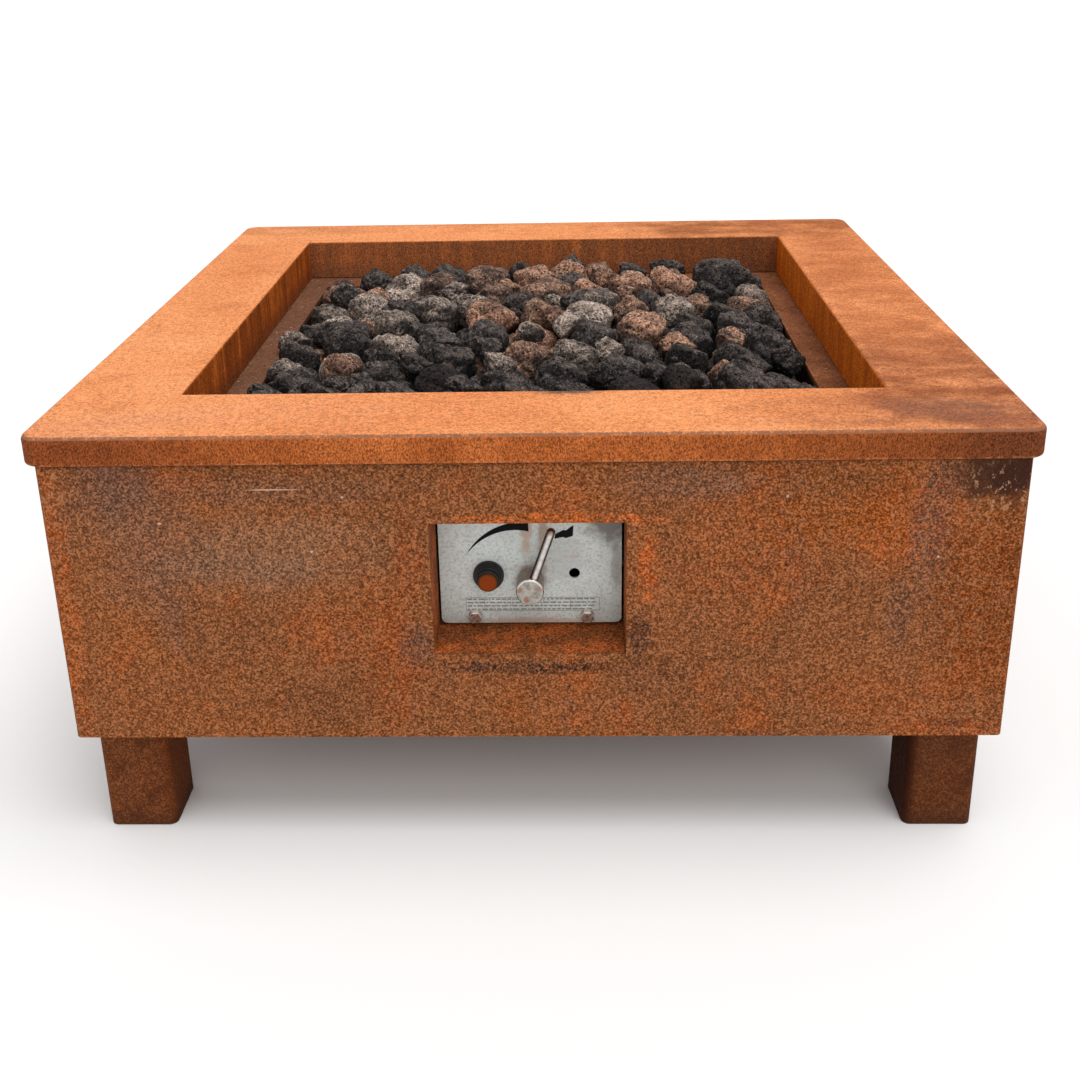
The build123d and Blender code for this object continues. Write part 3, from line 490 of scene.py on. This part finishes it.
# ---- metals and plastics of the control panel ----
def galvanised_paint():
    """Dull zinc with spangle, specks of dirt, and brown runs and smudges round the lever."""
    paint = Paint("galvanised_plate", 0.45)
    cloud = paint.noise(0.03, 5, 0.6)
    colour = paint.ramp(cloud, (0.3, rgb(193, 204, 202)), (0.6, rgb(213, 225, 222)),
                        (0.8, rgb(199, 210, 206)))
    spangle = paint.cells(0.006)[1]
    tone = paint.node("ShaderNodeSeparateColor", Color=spangle).outputs[0]
    colour = paint.mix(paint.times(tone, 0.16), colour, rgb(178, 180, 180))
    speck = paint.noise(0.0016, 2, 0.7, offset=4.0)
    colour = paint.mix(paint.times(paint.band(speck, 0.52, 0.64), 0.6), colour, rgb(230, 208, 196))
    dirt = paint.band(paint.noise(0.0024, 4, 0.75, offset=8.0), 0.48, 0.62)
    colour = paint.mix(paint.times(dirt, 0.50), colour, rgb(146, 148, 144))
    front = PLATE_FRONT
    stains = [
        ((LEVER_X - 0.003, front, 0.276), (0.0075, 0.02, 0.040), 0.75, rgb(178, 148, 126)),
        ((LEVER_X + 0.011, front, 0.262), (0.006, 0.02, 0.034), 0.70, rgb(166, 134, 112)),
        ((LEVER_X + 0.068, front, 0.280), (0.028, 0.02, 0.032), 0.90, rgb(112, 108, 102)),
        ((LEVER_X + 0.030, front, 0.245), (0.022, 0.02, 0.030), 0.40, rgb(168, 164, 160)),
        ((LEVER_X + 0.074, front, 0.236), (0.008, 0.02, 0.030), 0.55, rgb(130, 124, 118)),
        ((LEVER_X, front, 0.184), (0.085, 0.02, 0.005), 0.50, rgb(176, 140, 112)),
        ((LEVER_X, front, 0.226), (0.019, 0.02, 0.020), 0.65, rgb(150, 122, 102)),
        ((LEVER_X - 0.036, front, 0.229), (0.020, 0.02, 0.020), 0.35, rgb(152, 146, 138)),
        ((LEVER_X + 0.037, front, 0.2455), (0.006, 0.02, 0.003), 0.35, rgb(186, 150, 126)),
    ]
    colour = paint.stain(colour, stains, ragged=0.6, size=0.008)
    normal = paint.bump(speck, 0.0003, 0.25)
    return paint.finish(colour, paint.spread(cloud, 0.38, 0.58), normal, 0.12)


def rod_paint():
    """Plated rod, with a painted highlight along its front, painted shade down its sides, and a browned tip.
    """
    paint = Paint("plated_rod", 0.32)
    wear = paint.noise(0.007, 4, 0.65, offset=12.0)
    colour = paint.ramp(wear, (0.35, rgb(182, 176, 170)), (0.60, rgb(216, 212, 208)))
    # painted highlight and shade: the face turned to the front stays bright and the sides turn dark brown
    front = paint.math("ABSOLUTE", paint.own_facing["Y"])
    colour = paint.mix(paint.times(paint.band(front, 0.985, 0.86), 0.70), colour, rgb(112, 98, 90))
    colour = paint.mix(paint.times(paint.band(front, 0.84, 0.55), 0.90), colour, rgb(62, 44, 36))
    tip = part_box("lever_rod")[1].z
    burnt = paint.band(paint.axes["Z"], tip - 0.007, tip - 0.003)
    colour = paint.mix(paint.times(burnt, 0.75), colour, rgb(120, 86, 66))
    return paint.finish(colour, paint.spread(wear, 0.24, 0.36), paint.bump(wear, 0.0002, 0.1), 0.85)


def hub_paint():
    """Plated hub with brown blooms on its face, a painted highlight along the top of its face's edge, and
    flanks darkened partly by rust and partly as painted shade.
    """
    paint = Paint("plated_hub", 0.32)
    size = (HUB_HIGH.x - HUB_LOW.x) / 2
    wear = paint.noise(0.0045, 5, 0.7, offset=3.0)
    colour = paint.ramp(wear, (0.35, rgb(128, 122, 114)), (0.60, rgb(176, 172, 164)))
    front = HUB_LOW.y
    blooms = [
        ((LEVER_X - 0.80 * size, front, LEVER_Z + 0.15 * size), 0.30, 0.75),
        ((LEVER_X - 0.25 * size, front, LEVER_Z - 0.62 * size), 0.32, 0.85),
        ((LEVER_X + 0.66 * size, front, LEVER_Z + 0.30 * size), 0.30, 0.60),
        ((LEVER_X + 0.20 * size, front, LEVER_Z - 0.10 * size), 0.25, 0.35),
        ((LEVER_X - 0.05 * size, front, LEVER_Z + 0.40 * size), 0.26, 0.35),
    ]
    for centre, reach, share in blooms:
        mask = paint.times(paint.spot(centre, (reach * size, 0.003, reach * size), 0.6, 0.003), share)
        colour = paint.mix(mask, colour, rgb(146, 92, 64))
    # the flanks are darkened, partly their own rust and partly painted shade
    flank = paint.band(paint.math("ABSOLUTE", paint.own_facing["Y"]), 0.94, 0.60)
    rusted = paint.band(paint.noise(0.004, 4, 0.7, offset=9.0), 0.42, 0.60)
    colour = paint.mix(paint.times(flank, 0.35), colour, rgb(104, 84, 72))
    colour = paint.mix(paint.times(flank, rusted, 0.55), colour, rgb(150, 104, 78))
    # painted highlight: a near-white arc along the top of the face's edge
    rim = paint.times(paint.band(paint.radius(LEVER_X, LEVER_Z), size * 0.86, size * 0.93),
                      paint.band(paint.axes["Z"], LEVER_Z + 0.10 * size, LEVER_Z + 0.55 * size),
                      paint.band(paint.axes["Y"], front + 0.0014, front + 0.0006))
    colour = paint.mix(paint.times(rim, 0.9), colour, rgb(250, 248, 244))
    return paint.finish(colour, paint.spread(wear, 0.26, 0.44), paint.bump(wear, 0.0002, 0.2), 0.75)


def bolt_paint():
    """Zinc on screws and nuts, with a painted highlight on top, painted shade underneath, and brown spots.
    """
    paint = Paint("plated_bolts", 0.3)
    wear = paint.noise(0.0025, 4, 0.7, offset=21.0)
    colour = paint.ramp(wear, (0.38, rgb(140, 112, 98)), (0.60, rgb(190, 176, 166)))
    # painted highlight on faces turned up and painted shade on faces turned down
    top = paint.band(paint.own_facing["Z"], 0.15, 0.60)
    colour = paint.mix(paint.times(top, 0.85), colour, rgb(250, 246, 240))
    under = paint.band(paint.own_facing["Z"], -0.15, -0.60)
    colour = paint.mix(paint.times(under, 0.7), colour, rgb(96, 66, 50))
    return paint.finish(colour, paint.spread(wear, 0.26, 0.42), paint.bump(wear, 0.0002, 0.2), 0.75)


def metal_paint(name, colour, stain, roughness=0.4, metallic=0.85, offset=0.0):
    """Bare metal, clouded with a stain."""
    paint = Paint(name, roughness)
    cloud = paint.noise(0.02, 5, 0.65, offset=offset)
    mixed = paint.mix(paint.band(cloud, 0.42, 0.68), colour, stain)
    fine = paint.noise(0.0015, 2, 0.6, offset=offset + 3)
    rough = paint.spread(fine, roughness - 0.06, roughness + 0.08)
    return paint.finish(mixed, rough, paint.bump(fine, 0.0002, 0.2), metallic)


def plastic_paint(name, colour, dust, roughness=0.45, offset=0.0, specular=0.5):
    """Finely grained plastic, ceramic or ink with worn, dusty patches."""
    paint = Paint(name, roughness, specular=specular)
    wear = paint.noise(0.005, 4, 0.7, offset=offset)
    mixed = paint.mix(paint.times(paint.band(wear, 0.5, 0.72), 0.6), colour, dust)
    grain = paint.noise(0.0008, 2, 0.5, offset=offset + 7)
    rough = paint.spread(wear, roughness - 0.06, roughness + 0.1)
    return paint.finish(mixed, rough, paint.bump(grain, 0.00015, 0.3))


def cap_paint():
    """Heat-dulled orange button with painted shade towards its rim, and fine turned rings."""
    paint = Paint("orange_cap", 0.6, specular=0.12)
    low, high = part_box("igniter_cap")
    radius = paint.radius((low.x + high.x) / 2, (low.z + high.z) / 2)
    reach = (high.x - low.x) / 2
    wear = paint.noise(0.003, 4, 0.7, offset=6.0)
    colour = paint.mix(paint.band(wear, 0.45, 0.65), rgb(138, 52, 4), rgb(118, 60, 10))
    # painted shade: the button darkens towards its rim
    colour = paint.mix(paint.band(radius, reach * 0.72, reach * 0.98), colour, rgb(84, 46, 14))
    rings = paint.math("SINE", paint.times(radius, 2 * math.pi / 0.0011))
    return paint.finish(colour, paint.spread(wear, 0.5, 0.7), paint.bump(rings, 0.0002, 0.3))


# ---- lava ----
def lava_paint(name, dark, light, fleck, fleck_share, soot, front_soot, offset=0.0):
    """Porous lava: a tone for each stone, pits in two sizes darkened as painted shade, pale flecks, dust and
    painted light on upward faces, and shares of soot.
    """
    paint = Paint(name, 0.92, specular=0.25)
    tone = paint.node("ShaderNodeAttribute")
    tone.attribute_name = "stone_tone"
    cloud = paint.noise(0.018, 5, 0.7, offset=offset)
    blend = paint.math("ADD", paint.times(tone.outputs["Fac"], 0.65), paint.times(cloud, 0.6))
    colour = paint.mix(paint.band(blend, 0.35, 0.95), dark, light)
    flecks = paint.band(paint.noise(0.0024, 3, 0.75, offset=offset + 3), 0.56, 0.68)
    colour = paint.mix(paint.times(flecks, fleck_share), colour, fleck)
    sooty = paint.band(paint.noise(0.045, 4, 0.6, offset=offset + 11), 0.48, 0.60)
    colour = paint.mix(paint.times(sooty, soot), colour, rgb(30, 28, 28))
    # upward faces are paled, partly by dust and partly as painted light from above, so undersides stay
    # darker
    dusty = paint.times(paint.band(paint.facing["Z"], 0.15, 0.95), paint.band(cloud, 0.35, 0.6), 0.28)
    colour = paint.mix(dusty, colour, fleck)
    # the rows behind the front of the rim are sooted all over
    row = paint.times(paint.band(paint.axes["Y"], -0.115, -0.165), front_soot)
    colour = paint.mix(row, colour, rgb(36, 32, 31))
    # the pits are darkened in the colour as painted shade, on top of their bump
    big, _ = paint.cells(0.0048, offset)
    small, _ = paint.cells(0.0020, offset + 2)
    pit_big = paint.band(big, 0.14, 0.42)
    pit_small = paint.band(small, 0.16, 0.46)
    grit = paint.noise(0.0026, 4, 0.85, offset=offset + 17)
    big_shade = paint.math("ADD", paint.times(pit_big, 0.62), 0.46)
    small_shade = paint.math("ADD", paint.times(pit_small, 0.80), 0.38)
    colour = paint.shade(colour, paint.times(big_shade, small_shade, paint.spread(grit, 0.04, 2.04)))
    normal = paint.bump(grit, 0.0012, 0.8)
    normal = paint.bump(pit_big, 0.0018, 0.9, normal)
    normal = paint.bump(pit_small, 0.0009, 0.9, normal)
    return paint.finish(colour, None, normal)


def stone_islands(mesh):
    """Convex stones of one CAD mesh, each as a list of corner points and its flat sides."""
    corner_of, corners, triangles = {}, [], []
    for face in mesh.polygons:
        indices = []
        for vertex in face.vertices:
            place = mesh.vertices[vertex].co
            key = tuple(round(c * 1e6) for c in place)
            if key not in corner_of:
                corner_of[key] = len(corners)
                corners.append(place.copy())
            indices.append(corner_of[key])
        triangles.append((indices, face.normal.copy()))
    parent = list(range(len(corners)))

    def root(index):
        while parent[index] != index:
            parent[index] = parent[parent[index]]
            index = parent[index]
        return index

    for indices, _ in triangles:
        for other in indices[1:]:
            parent[root(other)] = root(indices[0])
    stones = {}
    for index, place in enumerate(corners):
        stones.setdefault(root(index), {"points": [], "sides": {}})["points"].append(place)
    for indices, normal in triangles:
        sides = stones[root(indices[0])]["sides"]
        sides[tuple(round(c, 2) for c in normal)] = (normal, corners[indices[0]])
    return list(stones.values())


def sphere_mesh(level):
    """Directions and faces of an evenly divided sphere."""
    mesh = bmesh.new()
    bmesh.ops.create_icosphere(mesh, subdivisions=level, radius=1.0)
    points = [v.co.normalized() for v in mesh.verts]
    faces = [[v.index for v in f.verts] for f in mesh.faces]
    mesh.free()
    return points, faces


COARSE, FINE = 4, 5  # levels of division, for the stones out of sight and for those on top
SPHERES = {level: sphere_mesh(level) for level in (COARSE, FINE)}
LUMPS = ((0.9, 1.0), (2.6, 0.45))  # lumps in a stone's mean radius, and their share
BLOCKS = 0.95  # fused blocks in its mean radius, with creases between them
CREASE_WIDTH = 0.22  # of a block
GRIT = ((260, 0.0006), (110, 0.0010))  # waves in a metre, and their height
PORE_SPACING = 0.0085
PORE_DEPTH = 0.0016
PORE_REACH = 0.4  # of the spacing


def rock(stone, chance, crispness, lumps):
    """Weathered stone inside one convex CAD stone: blunted edges, fused lumps, creases, pores and grit.

    A higher crispness keeps the CAD stone's edges sharper, and lumps is how deep the lumps go."""
    points = stone["points"]
    centre = sum(points, Vector()) / len(points)
    planes = [(normal, max((point - centre).dot(normal), 0.001))
              for normal, point in stone["sides"].values()]
    size = sum(reach for _, reach in planes) / len(planes)
    visible = max(p.z for p in points) > PAN_HIGH.z + 0.006
    directions, faces = SPHERES[FINE if visible else COARSE]
    power = crispness * chance.uniform(0.75, 1.3)
    offset = Vector([chance.uniform(-50, 50) for _ in range(3)])
    made = []
    for direction in directions:
        total = 0.0
        for normal, reach in planes:
            along = normal.dot(direction)
            if along > 0:
                total += (along / reach) ** power
        radius = total ** (-1 / power)
        place = direction * radius
        spot = place + offset
        lump = sum((noise.noise(spot * (count / size)) * 0.5 + 0.5) * share for count, share in LUMPS)
        near, far = noise.voronoi(spot * (BLOCKS / size))[0][:2]
        crease = max(0.0, 1 - (far - near) / CREASE_WIDTH)
        loss = lumps * (1.5 * max(0.0, lump - 0.45) + 0.6 * crease) * radius
        loss += sum(height * noise.noise(spot * waves) for waves, height in GRIT)
        if visible:
            pore = noise.voronoi(spot / PORE_SPACING)[0][0]
            loss += PORE_DEPTH * max(0.0, 1 - pore / PORE_REACH)
        made.append(centre + place * max(0.3, 1 - loss / radius))
    return made, faces


def rock_heap(node, material, pieces, crispness, lumps, seed):
    """Detailed stones that stand for one CAD group, shared out over a few pieces."""
    chance = random.Random(seed)
    stones = stone_islands(NODES[node].data)
    stones.sort(key=lambda s: (round(s["points"][0].x, 3), round(s["points"][0].y, 3)))
    size = math.ceil(len(stones) / pieces)
    for part in range(pieces):
        points, faces, tones = [], [], []
        for stone in stones[part * size:(part + 1) * size]:
            made, triangles = rock(stone, chance, crispness, lumps)
            first = len(points)
            points += made
            faces += [[first + i for i in triangle] for triangle in triangles]
            tones += [chance.random()] * len(made)
        mesh = bpy.data.meshes.new(f"{node}_{part + 1}")
        mesh.from_pydata(points, [], faces)
        mesh.polygons.foreach_set("use_smooth", [True] * len(mesh.polygons))
        mesh.attributes.new("stone_tone", "FLOAT", "POINT").data.foreach_set("value", tones)
        mesh.materials.append(material)
        heap = bpy.data.objects.new(f"{node}_{part + 1}", mesh)
        bpy.context.scene.collection.objects.link(heap)
        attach(heap, "root")
        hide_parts(node)


def make_lava():
    """The three colours of stone, each in a few pieces."""
    black = lava_paint("lava_black", rgb(18, 17, 17), rgb(54, 49, 48), rgb(146, 130, 122), 0.5,
                       soot=0.5, front_soot=0.0)
    grey = lava_paint("lava_grey", rgb(72, 64, 59), rgb(152, 136, 125), rgb(220, 196, 178), 0.5,
                      soot=0.75, front_soot=0.60, offset=5.0)
    brown = lava_paint("lava_brown", rgb(72, 58, 52), rgb(148, 110, 90), rgb(214, 166, 136), 0.5,
                       soot=0.75, front_soot=0.97, offset=9.0)
    rock_heap("lava_stones_black", black, pieces=4, crispness=14, lumps=0.16, seed=3)
    rock_heap("lava_stones_grey", grey, pieces=2, crispness=10, lumps=0.12, seed=4)
    rock_heap("lava_stones_brown", brown, pieces=2, crispness=12, lumps=0.14, seed=5)


# ---- printed marks on the control plate ----
INK_FRONT = PLATE_FRONT - 0.00015
INK_BACK = PLATE_FRONT - 0.00002  # just clear of the plate


def thin_shape(name, outline):
    """Flat outline in x, z on the control plate, as a thin closed solid."""
    mesh = bmesh.new()
    front = [mesh.verts.new((x, INK_FRONT, z)) for x, z in outline]
    back = [mesh.verts.new((x, INK_BACK, z)) for x, z in outline]
    mesh.faces.new(front)
    mesh.faces.new(list(reversed(back)))
    for i in range(len(outline)):
        j = (i + 1) % len(outline)
        mesh.faces.new((front[i], back[i], back[j], front[j]))
    bmesh.ops.recalc_face_normals(mesh, faces=mesh.faces)
    data = bpy.data.meshes.new(name)
    mesh.to_mesh(data)
    mesh.free()
    return data


def join_meshes(name, meshes, material):
    """One piece on the fixed body, made of several meshes."""
    joined = bmesh.new()
    for data in meshes:
        joined.from_mesh(data)
    data = bpy.data.meshes.new(name)
    joined.to_mesh(data)
    joined.free()
    data.materials.append(material)
    piece = bpy.data.objects.new(name, data)
    bpy.context.scene.collection.objects.link(piece)
    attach(piece, "root")


def arc_points(inner_start, inner_end, outer_start, outer_end, low, high, steps=24):
    """Outline of a crescent about the lever's axis; angles in degrees left of upright."""
    def edge(start, end, order):
        points = []
        for i in order:
            share = i / steps
            angle = math.radians(high + (low - high) * share)
            radius = start + (end - start) * share
            points.append((LEVER_X - radius * math.sin(angle), LEVER_Z + radius * math.cos(angle)))
        return points
    return edge(inner_start, inner_end, range(steps + 1)) + edge(outer_start, outer_end, range(steps, 0, -1))


def make_marks():
    """Flame scale and rating plate, the plate as plain rules and dashes in place of words."""
    ink = plastic_paint("black_ink", rgb(20, 20, 21), rgb(30, 29, 29), 0.8, 2.0, 0.1)
    crescent = arc_points(0.0590, 0.0444, 0.0592, 0.0535, 1.2, 66.0)
    wedge = [(0.0190, 0.2625), (0.0196, 0.2668), (0.0262, 0.2706), (0.0288, 0.2704), (0.0352, 0.2752),
             (0.0345, 0.2650), (0.0280, 0.2630), (0.0266, 0.2642)]
    shapes = [thin_shape("crescent", crescent), thin_shape("wedge", wedge)]
    join_meshes("flame_scale", shapes, ink)
    faint = plastic_paint("faded_ink", rgb(122, 121, 120), rgb(156, 153, 149), 0.6, 4.0)
    left, right = LEVER_X - 0.0565, LEVER_X + 0.0595
    low, high = 0.1940, 0.2070
    line = 0.0004
    bars = [(left, low, right, low + line), (left, high - line, right, high)]
    for share in (0.0, 0.14, 0.78, 0.996):
        x = left + (right - left) * share
        bars.append((x, low, x + line, high))
    chance = random.Random(21)
    rows = 4
    tall = 0.0011
    first, last = left + 0.0015, right - 0.006  # a dash starts between these
    for row in range(rows):
        z = low + (high - low) * (row + 0.5) / rows - tall / 2
        x = first
        while x < last:
            dash = chance.uniform(0.0015, 0.0055)
            bars.append((x, z, x + dash, z + tall))
            x += dash + chance.uniform(0.0008, 0.0016)
    shapes = [thin_shape("rule", [(a, b), (a, d), (c, d), (c, b)]) for a, b, c, d in bars]
    join_meshes("rating_rules", shapes, faint)


# ---- finishes of the CAD nodes ----
def finish_nodes():
    """Gives a material to every CAD node that isn't replaced."""
    def give(material, *names):
        for name in names:
            data = NODES[name].data
            data.materials.clear()
            data.materials.append(material)

    give(rim_paint(), "rim_front", "rim_rear", "rim_left", "rim_right")
    give(front_paint(), "front_panel")
    give(panel_paint("rust_sides", offset=14.0, aged=0.6), "rear_panel", "left_panel", "right_panel")
    # the recess rust is painted 1.15 times as bright, as painted light in the shaded window recess
    give(panel_paint("rust_recess", shade=1.15, offset=33.0, rich=0.45),
         "recess_cheeks", "recess_shelf", "recess_roof")
    # the rust inside the body is painted 0.55 times as bright, as painted shade
    give(panel_paint("rust_inside", shade=0.55, offset=45.0),
         "base_plate", "pan_support_rails", "control_bracket")
    give(leg_paint(), "leg_front_left", "leg_front_right", "leg_rear_left", "leg_rear_right",
         "leg_foot_plates", "leg_top_plates")
    give(pan_paint(), "burner_pan")
    give(galvanised_paint(), "control_plate")
    give(hub_paint(), "lever_hub")
    give(rod_paint(), "lever_rod")
    give(bolt_paint(), "plate_bolts", "plate_nuts", "valve_nut", "leg_bolts", "lever_grub_screw")
    steel = metal_paint("heated_steel", rgb(110, 100, 92), rgb(70, 52, 44), 0.45, 0.8)
    give(steel, "burner_bar", "mixer_tube", "burner_brackets", "thermocouple", "electrode_wire",
         "grate_frame", "grate_bars")
    give(metal_paint("spring_wire", rgb(160, 160, 162), rgb(120, 120, 124), 0.3, 0.95, 5.0),
         "valve_push_pin")
    give(metal_paint("dull_brass", rgb(190, 158, 92), rgb(130, 104, 66), 0.38, 0.9, 8.0),
         "injector", "injector_holder", "valve_body", "valve_spindle", "magnet_unit", "pipe_nuts",
         "gas_inlet_fitting")
    give(metal_paint("dull_copper", rgb(176, 104, 76), rgb(110, 72, 58), 0.4, 0.9, 11.0),
         "gas_feed_pipe", "gas_inlet_pipe", "thermocouple_lead")
    give(plastic_paint("black_plastic", rgb(24, 24, 25), rgb(62, 58, 56), 0.5, 1.0),
         "igniter_housing", "igniter_collar", "igniter_nut", "igniter_plunger", "pipe_clips")
    give(cap_paint(), "igniter_cap")
    give(plastic_paint("white_ceramic", rgb(224, 220, 208), rgb(170, 160, 148), 0.5, 9.0),
         "electrode_insulator")
    give(plastic_paint("red_silicone", rgb(130, 44, 34), rgb(90, 40, 34), 0.5, 13.0), "ignition_lead")


def make_springs():
    """Coil springs in spring wire, each a copy of its CAD node on the fixed body."""
    wire = NODES["valve_push_pin"].data.materials[0]
    for node, joint in (("igniter_spring", "igniter_press"), ("valve_spring", "control_push")):
        mesh = NODES[node].data.copy()
        mesh.materials.clear()
        mesh.materials.append(wire)
        coil = bpy.data.objects.new(f"{node}_coil", mesh)
        bpy.context.scene.collection.objects.link(coil)
        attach(coil, "root")
        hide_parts(node)
        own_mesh(coil)


# ---- staging ----
FLOOR_HALF = 60.0
FLOOR_Z = -0.0005  # just under the feet


def make_stage():
    """Pale floor, wide enough to fill every view."""
    paint = Paint("pale_floor", 0.9, specular=0.2)
    paint.finish(rgb(250, 250, 250))
    mesh = bpy.data.meshes.new("floor")
    corners = [(x * FLOOR_HALF, y * FLOOR_HALF, FLOOR_Z) for x, y in ((-1, -1), (1, -1), (1, 1), (-1, 1))]
    mesh.from_pydata(corners, [], [(0, 1, 2, 3)])
    mesh.materials.append(paint.material)
    floor = bpy.data.objects.new("floor", mesh)
    bpy.context.scene.collection.objects.link(floor)


def add_light(name, direction, strength, size, colour=(1, 1, 1)):
    """Soft sun that shines along a direction; its size is an angle in degrees."""
    light = bpy.data.lights.new(name, "SUN")
    light.energy, light.color = strength, colour
    light.angle = math.radians(size)
    made = bpy.data.objects.new(name, light)
    bpy.context.scene.collection.objects.link(made)
    made.rotation_euler = Vector(direction).to_track_quat("-Z", "Y").to_euler()


SKY_LIGHT = 0.56


def make_lights():
    """White sky and two broad suns, one overhead and one in front."""
    world = bpy.data.worlds.new("studio")
    bpy.context.scene.world = world
    world.use_nodes = True
    background = world.node_tree.nodes["Background"]
    background.inputs["Color"].default_value = (1.0, 1.0, 1.0, 1)
    # the sky lights the object softly, and is as white as the floor where the camera sees it
    strength = world.node_tree.nodes.new("ShaderNodeMapRange")
    strength.inputs["To Min"].default_value = SKY_LIGHT
    seen = world.node_tree.nodes.new("ShaderNodeLightPath").outputs["Is Camera Ray"]
    world.node_tree.links.new(seen, strength.inputs["Value"])
    world.node_tree.links.new(strength.outputs["Result"], background.inputs["Strength"])
    add_light("overhead", (-0.24, 0.12, -1.0), 1.55, 45)
    add_light("front_fill", (-0.15, 1.0, -0.6), 0.75, 50, (1.0, 0.97, 0.94))
    bpy.context.scene.view_settings.view_transform = "Standard"


# the camera stands in front, above the rim, and looks down
CAMERA_PLACE = (0.0329, -1.3535, 0.7402)
CAMERA_TURNS = (-1.796, -20.071, -1.179)  # yaw, pitch and roll in degrees
SENSOR_WIDTH = 36.0
LENS = 43.615
SHIFT = (0.00818, -0.1131)


def make_camera():
    yaw, pitch, roll = (math.radians(angle) for angle in CAMERA_TURNS)
    ahead = Vector((math.sin(yaw) * math.cos(pitch), math.cos(yaw) * math.cos(pitch), math.sin(pitch)))
    level = ahead.cross(Vector((0, 0, 1))).normalized()
    above = level.cross(ahead)
    right = level * math.cos(roll) + above * math.sin(roll)
    up = above * math.cos(roll) - level * math.sin(roll)
    camera = bpy.data.cameras.new("camera")
    camera.sensor_width = SENSOR_WIDTH
    camera.lens = LENS
    camera.shift_x, camera.shift_y = SHIFT
    camera.clip_start = 0.05
    made = bpy.data.objects.new("camera", camera)
    turned = Matrix((right, up, -ahead)).transposed().to_4x4()
    made.matrix_world = Matrix.Translation(CAMERA_PLACE) @ turned
    bpy.context.scene.collection.objects.link(made)
    bpy.context.scene.camera = made


make_camera()
make_stage()
make_lights()
finish_nodes()
make_lava()
make_marks()
make_springs()
